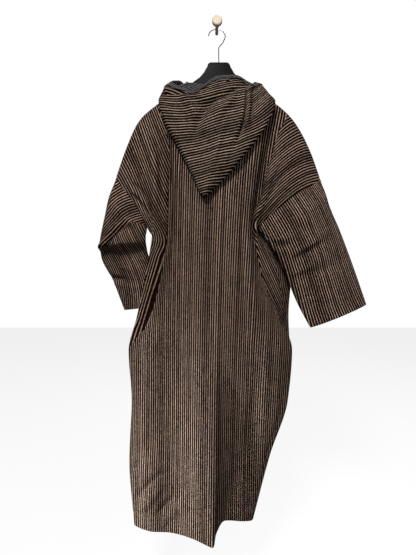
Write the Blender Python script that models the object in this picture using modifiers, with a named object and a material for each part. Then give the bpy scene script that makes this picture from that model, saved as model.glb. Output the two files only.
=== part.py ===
"""A hooded djellaba of striped wool, hung with its back outward on a plastic hanger and a wooden wall peg.

Metres, +Z up, +X to the right of someone facing the garment's back, +Y towards the wall. The origin is the
middle of the peg's flat end on the wall. Each cut piece of cloth is its own object: a surface worked out from
the drape tables below, with a wall of one thickness.
"""

import math

import bmesh
import bpy
import numpy as np

MM = 0.001

# Cloth
WALL = 0.0022
SEAM_GAP = 0.0003
PANEL_COLUMNS = 48
PANEL_ROWS = 26
FIRST_PLAIN_ROW = 0.06
SLEEVE_SIDES = 24
SLEEVE_ROWS = 13
HOOD_SIDES = 50
HOOD_ROWS = 19

# Neck and front slit
NECK_HALF = 0.10
NECK_DROP_FRONT = 0.030
NECK_SPREAD = 0.0105
SLIT_LENGTH = 0.24
SLIT_GAP = 0.0016

# Peg, hook and hanger
PEG_LENGTH = 0.076
PEG_STEM_RADIUS = 0.0050
PEG_KNOB_RADIUS = 0.0155
PEG_KNOB_DEPTH = 0.018
PEG_FRONT_ROUND = 0.005
PEG_BACK_ROUND = 0.007
WIRE_RADIUS = 0.0015
HOOK_RADIUS = 0.0265
HOOK_WALL_DISTANCE = 0.014
HANGER_Y = -0.045
HANGER_THICKNESS = 0.009
HANGER_ARM_HEIGHT = 0.026
HANGER_HEAD_MIDDLE = 0.0055
HANGER_HEAD_TOP = -0.1160
HANGER_HEAD_HALF = 0.0355
HANGER_HEAD_CORNER = 0.006
HANGER_END = 0.216
HANGER_BELOW_SEAM = 0.0029
HANGER_ARM_START = 0.107
# The flare below the hanger's head, and its lower edge in the middle, as x and z on the right half
HANGER_FLARE = ((0.0475, -0.149), (0.060, -0.163), (0.076, -0.1785), (0.0865, -0.1950), (0.097, -0.2012))
HANGER_LOWER = ((0.050, -0.208), (0.020, -0.196))

# Threads of the cloth across the width of a panel, in metres from its middle, from the left side seam
THREADS = (-0.48, -0.38, -0.28, -0.215, -0.17, -0.095, -0.03, 0.03, 0.095, 0.17, 0.215, 0.28, 0.38, 0.48)
ARMPIT = 0.30

# Levels down the body, as a share of a thread's length from the shoulder to the hem
LEVELS = {
    "shoulder": 0.0, "over": 0.010, "yoke": 0.03, "chest": 0.15, "arm": 0.24, "armpit": ARMPIT,
    "waist": 0.42, "hip": 0.54, "seat": 0.63, "thigh": 0.75, "calf": 0.87, "hem": 1.0,
}

# Where each thread lies across, in mm.
# Columns: seam, tuck, edge, crease, lip, neck, crest | valley, neck, lip, crease, edge, tuck, seam
ACROSS = {
    "shoulder": (-312, -281, -241, -189, -154, -92, -30, 30, 92, 152, 188, 237, 284, 317),
    "over": (-311, -279, -239, -187, -153, -92, -30, 30, 92, 151, 186, 235, 282, 316),
    "yoke": (-305, -272, -233, -184, -150, -93, -31, 31, 93, 149, 183, 229, 276, 309),
    "chest": (-266, -231, -190, -152, -133, -94, -33, 30, 88, 128, 150, 172, 200, 229),
    "arm": (-230, -206, -184, -144, -124, -93, -34, 27, 78, 104, 122, 136, 150, 160),
    "armpit": (-208, -193, -187, -142, -122, -93, -34, 26, 72, 92, 104, 112, 118, 119),
    "waist": (-130, -165, -207, -158, -138, -98, -34, 24, 76, 104, 120, 130, 180, 104),
    "hip": (-128, -172, -237, -192, -168, -104, -34, 22, 84, 136, 164, 184, 200, 108),
    "seat": (-138, -200, -262, -228, -186, -108, -34, 20, 88, 152, 196, 222, 202, 108),
    "thigh": (-142, -204, -252, -220, -180, -102, -32, 14, 80, 146, 188, 210, 172, 98),
    "calf": (-135, -200, -258, -214, -170, -90, -26, 6, 56, 112, 142, 156, 126, 78),
    "hem": (-120, -190, -241, -184, -148, -72, -16, -6, 22, 70, 99, 106, 86, 45),
}

# How far the back stands from the wall, in mm, same columns
BACK_OUT = {
    "shoulder": (50, 47, 45, 45, 45, 46, 77, 77, 46, 45, 45, 45, 47, 50),
    "over": (59, 58, 57, 57, 57, 58, 86, 86, 58, 57, 57, 57, 58, 59),
    "yoke": (68, 71, 74, 78, 80, 84, 92, 92, 84, 80, 78, 74, 71, 68),
    "chest": (92, 108, 122, 88, 124, 136, 148, 148, 138, 126, 92, 122, 116, 96),
    "arm": (92, 106, 132, 86, 132, 146, 160, 160, 150, 134, 90, 126, 112, 94),
    "armpit": (74, 94, 132, 92, 134, 150, 166, 165, 154, 136, 94, 118, 96, 78),
    "waist": (58, 74, 124, 104, 140, 162, 182, 176, 168, 146, 126, 122, 76, 62),
    "hip": (60, 80, 118, 122, 150, 170, 192, 182, 174, 158, 138, 114, 76, 60),
    "seat": (58, 78, 108, 144, 160, 171, 198, 182, 168, 154, 132, 98, 74, 58),
    "thigh": (60, 82, 112, 148, 160, 170, 206, 170, 152, 140, 122, 94, 72, 58),
    "calf": (64, 88, 118, 154, 164, 174, 220, 166, 132, 128, 120, 98, 72, 56),
    "hem": (72, 100, 132, 166, 170, 198, 231, 172, 112, 116, 112, 98, 76, 58),
}

# How low each thread lies, in mm below the peg, the same on both halves
# Columns: seam, tuck, edge, crease, lip, neck, middle
DOWN = {
    "shoulder": (479, 386, 301, 253, 231, 192, 224),
    "over": (480, 387, 302, 254, 232, 193, 226),
    "yoke": (492, 402, 319, 270, 248, 210, 246),
    "chest": (541, 484, 434, 402, 394, 390, 396),
    "arm": (598, 572, 545, 524, 516, 514, 518),
    "armpit": (641, 634, 627, 620, 616, 616, 618),
    "waist": (762, 762, 762, 760, 760, 760, 760),
    "hip": (902, 902, 902, 900, 900, 900, 900),
    "seat": (1003, 1003, 1002, 1000, 1000, 1000, 1000),
    "thigh": (1150, 1150, 1150, 1150, 1150, 1150, 1152),
    "calf": (1312, 1312, 1312, 1310, 1310, 1310, 1314),
    "hem": (1494, 1496, 1500, 1501, 1501, 1502, 1505),
}

# Where the front's threads lie across, in mm, without its two side edges, which the back gives
# Columns: tuck, edge, crease, lip, neck, crest | valley, neck, lip, crease, edge, tuck
FRONT_ACROSS = {
    "shoulder": (-281, -241, -189, -154, -92, -30, 30, 92, 152, 188, 237, 284),
    "over": (-279, -239, -187, -153, -92, -30, 30, 92, 151, 186, 235, 282),
    "yoke": (-272, -233, -184, -150, -93, -31, 31, 93, 149, 183, 229, 276),
    "chest": (-226, -188, -152, -128, -90, -32, 30, 86, 126, 150, 178, 204),
    "arm": (-198, -168, -136, -116, -84, -31, 28, 78, 106, 128, 148, 158),
    "armpit": (-190, -162, -130, -110, -80, -30, 27, 74, 100, 118, 142, 136),
    "waist": (-144, -150, -132, -112, -82, -30, 24, 72, 118, 174, 234, 204),
    "hip": (-150, -174, -156, -130, -90, -32, 24, 82, 132, 178, 225, 202),
    "seat": (-176, -212, -188, -152, -94, -32, 20, 84, 138, 186, 228, 202),
    "thigh": (-196, -242, -214, -166, -98, -32, 16, 78, 130, 172, 206, 172),
    "calf": (-190, -242, -208, -158, -86, -26, 6, 54, 102, 136, 153, 124),
    "hem": (-178, -222, -186, -136, -70, -16, -6, 22, 58, 86, 100, 82),
}

# How far the front hangs from the wall, in mm, the same on both halves
# Columns: tuck, edge, crease, lip, neck, middle
FRONT_OUT = {
    "shoulder": (47, 45, 45, 45, 45, 23),
    "over": (35, 34, 33, 33, 33, 20),
    "yoke": (28, 26, 24, 22, 21, 17),
    "chest": (42, 30, 20, 17, 15, 12),
    "arm": (48, 34, 20, 16, 13, 11),
    "armpit": (52, 34, 19, 15, 12, 10),
    "waist": (44, 28, 14, 11, 10, 9),
    "hip": (43, 27, 13, 10, 9, 9),
    "seat": (42, 26, 12, 9, 9, 11),
    "thigh": (42, 26, 12, 9, 9, 13),
    "calf": (43, 28, 13, 10, 10, 15),
    "hem": (44, 32, 16, 12, 12, 17),
}
# How far the front's side edges lie behind the back's, in mm: open at the armhole, sewn below it
EDGE_DEPTHS = {
    "shoulder": 0.0, "over": 24.0, "yoke": 38.0, "chest": 46.0, "arm": 40.0, "armpit": 3.0, "hem": 3.0,
}

# Ridges (out) and troughs (in) of the back: start and end as (thread, share of length), width and height
BACK_FOLDS = (
    ("left flank wrinkle", (-0.24, 0.88), (-0.17, 0.80), 0.022, -0.007),
    ("left flank ridge", (-0.21, 0.92), (-0.13, 0.83), 0.026, 0.007),
    ("seat bow", (-0.17, 0.52), (-0.08, 0.66), 0.040, 0.006),
    ("right drag line", (0.15, 0.36), (0.12, 0.60), 0.026, 0.007),
    ("right shoulder pull", (0.19, 0.05), (0.11, 0.24), 0.022, 0.008),
    ("left shoulder pull", (-0.18, 0.05), (-0.12, 0.26), 0.022, 0.007),
    ("right wing trough", (0.33, 0.04), (0.30, 0.22), 0.022, -0.007),
    ("left wing trough", (-0.34, 0.04), (-0.32, 0.20), 0.022, -0.007),
    ("centre ripple", (0.06, 0.30), (0.04, 0.62), 0.024, 0.005),
)
FRONT_FOLDS = (
    ("left hang fold", (-0.15, 0.35), (-0.14, 1.00), 0.030, 0.008),
    ("right hang fold", (0.14, 0.30), (0.16, 1.00), 0.032, 0.009),
    ("centre hang fold", (-0.03, 0.45), (-0.02, 1.00), 0.028, 0.006),
)

# Sleeves. Columns in mm: share of length, outer edge x and z, inner edge x and z,
# distance from the wall of the outer and inner edge, bulge to the back and to the front
RIGHT_SLEEVE = (
    ("upper", 0.24, 332, -552, 170, -690, 84, 90, 34, 30),
    ("elbow", 0.50, 371, -648, 206, -775, 82, 90, 36, 28),
    ("forearm", 0.76, 411, -752, 240, -857, 79, 87, 32, 26),
    ("cuff", 1.00, 451, -865, 281, -934, 76, 84, 30, 25),
)
LEFT_SLEEVE = (
    ("upper", 0.22, -329, -566, -216, -662, 92, 92, 44, 30),
    ("elbow", 0.46, -352, -690, -216, -676, 92, 90, 48, 34),
    ("overhang", 0.55, -353, -716, -213, -706, 74, 76, 20, 38),
    ("forearm", 0.78, -318, -800, -168, -806, 50, 50, 34, 34),
    ("cuff", 1.00, -286, -884, -162, -868, 49, 48, 34, 33),
)
ARMHOLE_END = 0.286
ARMHOLE_GAP = 0.0026
SLEEVE_RUN_OUT = 0.0042
SLEEVE_FOLDS = {
    "right": (
        ("elbow crush", (0.10, 0.42), (0.42, 0.34), 0.045, 0.006),
        ("forearm crush", (0.14, 0.66), (0.40, 0.58), 0.045, -0.006),
    ),
    "left": (
        ("elbow crush", (0.08, 0.30), (0.40, 0.22), 0.045, -0.006),
        ("forearm crush", (0.06, 0.80), (0.34, 0.74), 0.045, -0.006),
    ),
}

# The hood hangs down the back as a flat pouch. Each section is a ring: out over the face of the pouch from
# the left edge to the right edge, and back behind it along the neck. The first section is its open mouth,
# sewn to the neck behind and free in front. Each entry is (x, distance from the wall, z) in mm.
# Columns: seam, left nape, left inner, left edge, left side, left face, notch, crown, right face,
# right fold, right crease, right side, right edge, right inner, right nape
HOOD_ROUND = (-1.0, -0.90, -0.80, -0.76, -0.58, -0.40, -0.20, 0.0, 0.22, 0.38, 0.50, 0.62, 0.76, 0.80, 0.90)
HOOD_SECTIONS = (
    (0.00, (0, 77, -222), (-50, 70, -206), (-98, 45, -192), (-102, 46, -184), (-115, 60, -180),
     (-136, 92, -199), (-68, 140, -246), (0, 146, -207), (52, 140, -203), (90, 122, -214), (112, 88, -206),
     (114, 62, -187), (102, 46, -184), (98, 45, -192), (50, 70, -206)),
    (0.03, (0, 88, -213), (-56, 84, -199), (-98, 56, -187), (-112, 52, -188), (-124, 68, -188),
     (-145, 98, -208), (-69, 148, -251), (0, 153, -214), (53, 149, -210), (92, 130, -221), (114, 94, -211),
     (123, 72, -194), (112, 52, -189), (98, 56, -187), (56, 84, -199)),
    (0.07, (0, 108, -226), (-62, 100, -212), (-108, 74, -196), (-130, 63, -204), (-142, 82, -202),
     (-154, 108, -222), (-70, 156, -256), (0, 162, -228), (54, 158, -222), (93, 140, -228), (110, 108, -222),
     (137, 86, -207), (132, 61, -210), (108, 72, -197), (62, 100, -212)),
    (0.11, (0, 121, -246), (-72, 111, -232), (-130, 88, -216), (-152, 82, -226), (-160, 102, -224),
     (-154, 124, -238), (-70, 162, -261), (0, 169, -244), (54, 165, -238), (94, 150, -236), (106, 124, -236),
     (140, 106, -225), (155, 82, -231), (127, 84, -217), (72, 111, -232)),
    (0.16, (0, 136, -278), (-78, 128, -262), (-150, 98, -246), (-169, 104, -258), (-172, 120, -264),
     (-142, 148, -264), (-70, 168, -268), (0, 177, -264), (54, 172, -252), (92, 162, -248), (99, 140, -250),
     (144, 124, -255), (171, 103, -258), (150, 99, -246), (78, 128, -262)),
    (0.35, (0, 149, -335), (-72, 143, -330), (-140, 130, -324), (-159, 134, -322), (-152, 154, -324),
     (-104, 172, -326), (-54, 178, -328), (0, 190, -330), (48, 187, -320), (88, 176, -310), (94, 162, -310),
     (124, 150, -317), (151, 135, -322), (132, 130, -322), (72, 143, -330)),
    (0.60, (-8, 164, -418), (-55, 157, -414), (-100, 149, -410), (-117, 153, -408), (-111, 170, -408),
     (-76, 183, -411), (-44, 187, -414), (-10, 198, -420), (26, 197, -412), (66, 188, -403), (83, 180, -402),
     (95, 171, -402), (102, 160, -402), (86, 151, -404), (44, 159, -412)),
    (0.80, (-22, 172, -492), (-44, 168, -490), (-64, 164, -487), (-78, 168, -484), (-74, 180, -484),
     (-58, 189, -487), (-42, 193, -491), (-22, 202, -496), (-2, 200, -491), (22, 192, -481), (34, 187, -478),
     (42, 182, -477), (45, 172, -476), (30, 166, -480), (4, 168, -486)),
    (1.00, (-38, 171, -554), (-42, 171, -553), (-45, 172, -552), (-50, 177, -549), (-49, 184, -550),
     (-44, 189, -553), (-41, 192, -555), (-37, 193, -556), (-33, 192, -555), (-29, 189, -551),
     (-25, 186, -549), (-23, 182, -548), (-23, 177, -549), (-28, 172, -551), (-33, 171, -552)),
)
HOOD_LIFT = 0.0029
HOOD_SIDE_TURN = 0.80
# The hood goes on round the front of the neck as a low strip, to the slit
STRIP_THREADS = (0.08, 0.06, 0.04, 0.02, 0.004)
STRIP_HEIGHTS = (0.0, 0.009, 0.018)
STRIP_FLARE = 0.003


def slopes(knots, values):
    """Tangents of a curve that never overshoots the values that it passes through."""
    steps = np.diff(knots)
    rises = np.diff(values, axis=0) / steps[:, None]
    tangent = np.zeros_like(values)
    before, after = rises[:-1], rises[1:]
    level = before * after <= 0.0
    weight_a = (2.0 * steps[1:] + steps[:-1])[:, None]
    weight_b = (steps[1:] + 2.0 * steps[:-1])[:, None]
    safe_before = np.where(level, 1.0, before)
    safe_after = np.where(level, 1.0, after)
    mean = (weight_a + weight_b) / (weight_a / safe_before + weight_b / safe_after)
    tangent[1:-1] = np.where(level, 0.0, mean)
    tangent[0] = rises[0]
    tangent[-1] = rises[-1]
    return tangent


def through(knots, values, at):
    """Values of the smooth curve through (knots, values) at the given places."""
    knots = np.asarray(knots, float)
    values = np.asarray(values, float)
    flat = values.reshape(len(knots), -1)
    tangent = slopes(knots, flat)
    at = np.clip(np.asarray(at, float), knots[0], knots[-1])
    left = np.clip(np.searchsorted(knots, at, side="right") - 1, 0, len(knots) - 2)
    step = (knots[left + 1] - knots[left])[:, None]
    x = (at - knots[left])[:, None] / step
    result = (
        (2 * x**3 - 3 * x**2 + 1) * flat[left]
        + (x**3 - 2 * x**2 + x) * step * tangent[left]
        + (3 * x**2 - 2 * x**3) * flat[left + 1]
        + (x**3 - x**2) * step * tangent[left + 1]
    )
    return result.reshape((len(at),) + values.shape[1:])


def chart(rows, columns, across, along):
    """A table read as a smooth surface: rows by level, columns by thread."""
    table = np.array([rows[level] for level in LEVELS], float) * MM
    by_thread = through(columns, table.T, across).T
    return through(list(LEVELS.values()), by_thread, along)


def mirrored(rows):
    """A table of one half, repeated for the other half."""
    return {level: tuple(row) + tuple(reversed(row)) for level, row in rows.items()}


def fold_height(across, along, folds):
    """Height of the ridges and troughs at each point of a panel."""
    u, t = np.meshgrid(across, along)
    total = np.zeros_like(u)
    for _, start, end, width, height in folds:
        run = np.array([end[0] - start[0], end[1] - start[1]])
        share = ((u - start[0]) * run[0] + (t - start[1]) * run[1]) / run.dot(run)
        inside = np.clip(share, 0.0, 1.0)
        beside = np.hypot(u - start[0] - inside * run[0], t - start[1] - inside * run[1])
        ends = np.sin(np.pi * np.clip(share, 0.02, 0.98)) ** 0.5
        total += height * ends * np.exp(-((beside / width) ** 2))
    return total


def normals_of(points, closed=False):
    """Unit normals of a grid of points, rows along and columns across."""
    if closed:
        wrapped = np.concatenate([points[:, -1:], points, points[:, :1]], axis=1)
        d_across = wrapped[:, 2:] - wrapped[:, :-2]
    else:
        d_across = np.gradient(points, axis=1)
    d_along = np.gradient(points, axis=0)
    normal = np.cross(d_across, d_along)
    return normal / np.maximum(np.linalg.norm(normal, axis=2, keepdims=True), 1e-9)


def neck_spread(across, along):
    """How far each panel bows away from the hanger's flare, which comes out between them at the neck."""
    inside = np.clip((NECK_HALF - np.abs(across)) / (NECK_HALF - THREADS[7]), 0.0, 1.0)
    near = np.exp(-((np.asarray(along) / 0.05) ** 2))
    return NECK_SPREAD * near[:, None] * (np.sin(math.pi * inside) ** 0.6)[None, :]


def back_points(across, along):
    """Points of the back panel."""
    x = chart(ACROSS, THREADS, across, along)
    y = -chart(BACK_OUT, THREADS, across, along)
    z = -chart(mirrored(DOWN), THREADS, across, along)
    y -= SEAM_GAP + neck_spread(across, along) + fold_height(across, along, BACK_FOLDS)
    return np.stack([x, y, z], axis=2)


def front_points(across, along):
    """Points of the front panel, which shares its side seams with the back."""
    x_rows, y_rows = {}, {}
    for level, row in FRONT_OUT.items():
        x_rows[level] = ACROSS[level][:1] + FRONT_ACROSS[level] + ACROSS[level][-1:]
        behind = EDGE_DEPTHS.get(level, EDGE_DEPTHS["hem"])
        edges = (BACK_OUT[level][0] - behind, BACK_OUT[level][-1] - behind)
        y_rows[level] = edges[:1] + row + tuple(reversed(row)) + edges[1:]
    x = chart(x_rows, THREADS, across, along)
    y = -chart(y_rows, THREADS, across, along)
    z = -chart(mirrored(DOWN), THREADS, across, along)
    levels = [LEVELS[level] for level in EDGE_DEPTHS]
    depth = through(levels, [[value * MM] for value in EDGE_DEPTHS.values()], along)
    ends = (THREADS[0], THREADS[-1])
    error = depth - chart(BACK_OUT, THREADS, ends, along) + chart(y_rows, THREADS, ends, along)
    for side, (seam, tuck) in enumerate((THREADS[:2], THREADS[:-3:-1])):
        share = np.clip((np.asarray(across) - tuck) / (seam - tuck), 0.0, 1.0)
        y += error[:, side:side + 1] * share[None, :]
    middle = np.exp(-((np.asarray(across) / 0.055) ** 2))[None, :]
    top = np.exp(-((np.asarray(along) / 0.05) ** 2))[:, None]
    z = z - NECK_DROP_FRONT * middle * top
    y += SEAM_GAP + neck_spread(across, along) - fold_height(across, along, FRONT_FOLDS)
    return np.stack([x, y, z], axis=2)


def sleeve_points(side, turns, along):
    """Points of a sleeve: a ring round the armhole, carried through the sections to the cuff."""
    table = RIGHT_SLEEVE if side == "right" else LEFT_SLEEVE
    edge = THREADS[-1] if side == "right" else THREADS[0]
    turns = np.asarray(turns)
    angle = turns * 2.0 * math.pi
    level = ARMHOLE_END * (1.0 - np.cos(angle)) / 2.0
    order = np.argsort(level)
    back = np.empty((len(turns), 3))
    front = np.empty((len(turns), 3))
    back[order] = back_points([edge], level[order])[:, 0]
    front[order] = front_points([edge], level[order])[:, 0]
    share = (1.0 - np.sign(np.sin(angle))) / 2.0
    share[np.abs(np.sin(angle)) < 1e-6] = 0.5
    armhole = back * (1.0 - share)[:, None] + front * share[:, None]
    outer = np.array([table[0][2], 0.0, table[0][3]])
    inner = np.array([table[0][4], 0.0, table[0][5]])
    away = (outer + inner) / 2.0 * MM - armhole.mean(axis=0)
    away[1] = 0.0
    away /= np.linalg.norm(away)
    bottom = np.clip(-np.cos(angle), 0.0, 1.0) ** 6
    armhole = armhole + away * (ARMHOLE_GAP + bottom[:, None] * SLEEVE_RUN_OUT)
    sections, places = [armhole], [0.0]
    for _, place, ox, oz, ix, iz, out_y, in_y, to_back, to_front in table:
        swing = np.cos(angle)
        bulge = np.where(np.sin(angle) > 0.0, to_back, to_front) * np.sin(angle)
        x = (ox + ix) / 2.0 + swing * (ox - ix) / 2.0
        z = (oz + iz) / 2.0 + swing * (oz - iz) / 2.0
        y = -((out_y + in_y) / 2.0 + swing * (out_y - in_y) / 2.0) - bulge
        sections.append(np.stack([x, y, z], axis=1) * MM)
        places.append(place)
    points = through(places, np.array(sections), along)
    sign = 1.0 if side == "right" else -1.0
    height = fold_height(turns, along, SLEEVE_FOLDS[side])
    return points + sign * normals_of(points, closed=True) * height[:, :, None]


def neck_seam(turns):
    """Where the hood is sewn to the back panel, across the neck; elsewhere not a number."""
    places = np.full((len(turns), 3), np.nan)
    for index, turn in enumerate(turns):
        if abs(turn) >= HOOD_SIDE_TURN - 1e-6:
            share = (1.0 - abs(turn)) / (1.0 - HOOD_SIDE_TURN)
            places[index] = back_points([math.copysign(NECK_HALF * share, turn)], [0.0])[0, 0]
    places[:, 2] += HOOD_LIFT
    return places


def hood_points(turns, along):
    """Points of the hood: rings from its mouth to the tip."""
    places = [section[0] for section in HOOD_SECTIONS]
    rings = []
    for section in HOOD_SECTIONS:
        ring = np.array(section[1:] + section[1:2], float) * MM
        ring[:, 1] *= -1.0
        rings.append(through(HOOD_ROUND + (1.0,), ring, turns))
    sewn = neck_seam(turns)
    rings[0] = np.where(np.isnan(sewn), rings[0], sewn)
    return through(places, np.array(rings), along)


def strip_points(sign, thread):
    """Points across the hood's strip at a thread of the front's neck, from the seam up."""
    seam = front_points([sign * thread], [0.0])[0, 0]
    top = STRIP_HEIGHTS[-1]
    return [seam + (0.0, STRIP_FLARE * height / top, HOOD_LIFT + height) for height in STRIP_HEIGHTS]


def principled(name, colour, roughness, metallic=0.0):
    """A plain material of one colour."""
    material = bpy.data.materials.new(name)
    material.use_nodes = True
    shader = material.node_tree.nodes["Principled BSDF"]
    shader.inputs["Base Color"].default_value = (*colour, 1.0)
    shader.inputs["Roughness"].default_value = roughness
    shader.inputs["Metallic"].default_value = metallic
    return material


def add_object(name, data, collection, material):
    """A new object in the collection, with its material."""
    thing = bpy.data.objects.new(name, data)
    data.materials.append(material)
    collection.objects.link(thing)
    return thing


def give_wall(thing, thickness=WALL):
    """Cloth of one thickness, half of it on each side of the surface."""
    solidify = thing.modifiers.new("wall", "SOLIDIFY")
    solidify.thickness = thickness
    solidify.offset = 0.0
    solidify.use_rim = True
    return solidify


def panel_mesh(name, points, slit_row=0):
    """A grid of cloth moved onto the given points. A slit opens the middle column from the top edge down."""
    rows, columns = points.shape[:2]
    bm = bmesh.new()
    bmesh.ops.create_grid(bm, x_segments=columns - 1, y_segments=rows - 1, size=1.0)
    slit_end = 1.0 - 2.0 * slit_row / (rows - 1)
    slit = [
        edge for edge in bm.edges
        if slit_row and all(abs(vert.co.x) < 1e-5 and vert.co.y > slit_end - 1e-5 for vert in edge.verts)
    ]
    bmesh.ops.split_edges(bm, edges=slit)
    beside = {
        vert: math.copysign(SLIT_GAP / 2.0, sum(face.calc_center_median().x for face in vert.link_faces))
        for vert in bm.verts
    }
    for vert in bm.verts:
        column = round((vert.co.x + 1.0) / 2.0 * (columns - 1))
        row = round((1.0 - vert.co.y) / 2.0 * (rows - 1))
        vert.co = points[row, column]
        if row < slit_row and column == columns // 2:
            vert.co.x += beside[vert]
    mesh = bpy.data.meshes.new(name)
    bm.to_mesh(mesh)
    bm.free()
    mesh.shade_smooth()
    return mesh


def tube_of(points, closed_end=False):
    """A ring of cloth drawn out row by row through the given points: the mesh and its first ring."""
    rows, sides = points.shape[:2]
    bm = bmesh.new()
    first = bmesh.ops.create_circle(bm, cap_ends=False, segments=sides, radius=1.0)["verts"]
    for vert, place in zip(first, points[0]):
        vert.co = place
    ring = first
    for row in range(1, rows):
        ring = drawn_on(bm, ring + ring[:1], list(points[row]) + [points[row][0]])[:-1]
    if closed_end:
        edges = [bm.edges.get((a, b)) for a, b in zip(ring, ring[1:] + ring[:1])]
        bmesh.ops.contextual_create(bm, geom=edges)
    return bm, first


def drawn_on(bm, row, places):
    """Extrude a row of vertices to new places: the new row."""
    edges = [bm.edges.get(pair) for pair in zip(row, row[1:])]
    grown = set(bmesh.ops.extrude_edge_only(bm, edges=edges)["geom"])
    new = [next(e.other_vert(v) for e in v.link_edges if e.other_vert(v) in grown) for v in row]
    for vert, place in zip(new, places):
        vert.co = place
    return new


def finished(name, bm):
    """A smooth mesh with its faces turned outward."""
    bmesh.ops.recalc_face_normals(bm, faces=bm.faces)
    mesh = bpy.data.meshes.new(name)
    bm.to_mesh(mesh)
    bm.free()
    mesh.shade_smooth()
    return mesh


def under_shoulder(x, depth):
    """The point under the shoulder seam, at right angles to it, by the given depth."""
    edge = back_points(np.linspace(0.07, THREADS[-1], 60), [0.0])[0]
    step = 0.004
    left, middle, right = np.interp([x - step, x, x + step], edge[:, 0], edge[:, 2])
    slope = math.atan2(right - left, 2.0 * step)
    return x + depth * math.sin(slope), float(middle) - depth * math.cos(slope)


def panel_columns():
    """Threads that the grid's columns follow, one of them in the middle."""
    return np.linspace(THREADS[0], THREADS[-1], PANEL_COLUMNS + 1)


def panel_rows():
    """Levels of the grid's rows: close together where the cloth turns over the shoulder, wider to the hem."""
    share = np.linspace(0.0, 1.0, PANEL_ROWS - 3)
    below = FIRST_PLAIN_ROW + (1.0 - FIRST_PLAIN_ROW) * share * (0.85 + 0.15 * share)
    return np.concatenate([[0.0, LEVELS["over"], LEVELS["yoke"]], below])


def make_back(collection, wool):
    """The back panel."""
    points = back_points(panel_columns(), panel_rows())
    give_wall(add_object("back_panel", panel_mesh("back_panel", points), collection, wool))


def make_front(collection, wool):
    """The front panel, with the slit below the neck that the head passes through."""
    points = front_points(panel_columns(), panel_rows())
    depth = points[0, PANEL_COLUMNS // 2, 2] - points[:, PANEL_COLUMNS // 2, 2]
    slit_row = int(np.argmin(np.abs(depth - SLIT_LENGTH)))
    mesh = panel_mesh("front_panel", points, slit_row)
    give_wall(add_object("front_panel", mesh, collection, wool))


def make_sleeves(collection, wool):
    """Both sleeves."""
    turns = np.arange(SLEEVE_SIDES) / SLEEVE_SIDES
    along = np.linspace(0.0, 1.0, SLEEVE_ROWS)
    for side in ("left", "right"):
        name = f"sleeve_{side}"
        bm, _ = tube_of(sleeve_points(side, turns, along))
        give_wall(add_object(name, finished(name, bm), collection, wool))


def make_hood(collection, wool):
    """The hood: a pouch down the back, and a strip each way round the front of the neck."""
    turns = np.linspace(-1.0, 1.0, HOOD_SIDES + 1)[:-1]
    along = np.linspace(0.0, 1.0, HOOD_ROWS) ** 1.25
    bm, mouth = tube_of(hood_points(turns, along), closed_end=True)
    start = int(np.argmin(np.abs(turns + HOOD_SIDE_TURN)))
    width = len(STRIP_HEIGHTS)
    rows = {-1.0: mouth[start:start + width], 1.0: mouth[-start:-start - width:-1]}
    for sign, row in rows.items():
        for thread in STRIP_THREADS:
            row = drawn_on(bm, row, strip_points(sign, thread))
    give_wall(add_object("hood", finished("hood", bm), collection, wool))


def make_peg(collection, wood):
    """The turned peg: a stem out of the wall and a round knob."""
    knob = PEG_LENGTH - PEG_KNOB_DEPTH
    radius = PEG_KNOB_RADIUS
    profile = [(0.0, PEG_LENGTH)]
    for turn in range(5):
        angle = math.pi / 2.0 * turn / 4.0
        profile.append((radius + PEG_FRONT_ROUND * (math.sin(angle) - 1.0),
                        PEG_LENGTH + PEG_FRONT_ROUND * (math.cos(angle) - 1.0)))
    for turn in range(4):
        angle = math.pi / 2.0 * turn / 3.0
        profile.append((radius + PEG_BACK_ROUND * (math.cos(angle) - 1.0),
                        knob + PEG_BACK_ROUND * (1.0 - math.sin(angle))))
    profile += [(PEG_STEM_RADIUS, knob), (PEG_STEM_RADIUS, 0.0), (0.0, 0.0)]
    mesh = bpy.data.meshes.new("wall_peg")
    points = [(r, 0.0, height) for r, height in profile]
    mesh.from_pydata(points, [(i, i + 1) for i in range(len(points) - 1)], [])
    peg = add_object("wall_peg", mesh, collection, wood)
    screw = peg.modifiers.new("turned", "SCREW")
    screw.steps = screw.render_steps = 28
    screw.use_merge_vertices = True
    screw.merge_threshold = 0.00005
    peg.rotation_euler = (math.pi / 2.0, 0.0, 0.0)


def hook_route():
    """Middle line of the wire: round the peg, a kink back to the middle, and down into the head."""
    top = PEG_STEM_RADIUS + 1.6 * SEAM_GAP + WIRE_RADIUS
    middle_z = top - HOOK_RADIUS
    route = []
    for step in range(15):
        angle = math.radians(176.0 - 212.0 * step / 14.0)
        route.append((HOOK_RADIUS * math.cos(angle), middle_z + HOOK_RADIUS * math.sin(angle)))
    end_x, end_z = route[-1]
    for step in range(1, 7):
        share = step / 6.0
        ease = share * share * (3.0 - 2.0 * share)
        route.append((end_x + (HANGER_HEAD_MIDDLE - end_x) * ease, end_z - 0.030 * share))
    route.append((HANGER_HEAD_MIDDLE, HANGER_HEAD_TOP + 2.0 * SEAM_GAP))
    lean = (HANGER_Y + HOOK_WALL_DISTANCE) / (HANGER_HEAD_TOP - top)
    return [(x, -HOOK_WALL_DISTANCE + lean * (z - top), z) for x, z in route]


def make_hook(collection, steel):
    """The wire hook."""
    curve = bpy.data.curves.new("hanger_hook", "CURVE")
    curve.dimensions = "3D"
    curve.bevel_depth = WIRE_RADIUS
    curve.bevel_resolution = 2
    curve.use_fill_caps = True
    route = hook_route()
    spline = curve.splines.new("POLY")
    spline.points.add(len(route) - 1)
    for point, place in zip(spline.points, route):
        point.co = (*place, 1.0)
    add_object("hanger_hook", curve, collection, steel)


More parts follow.
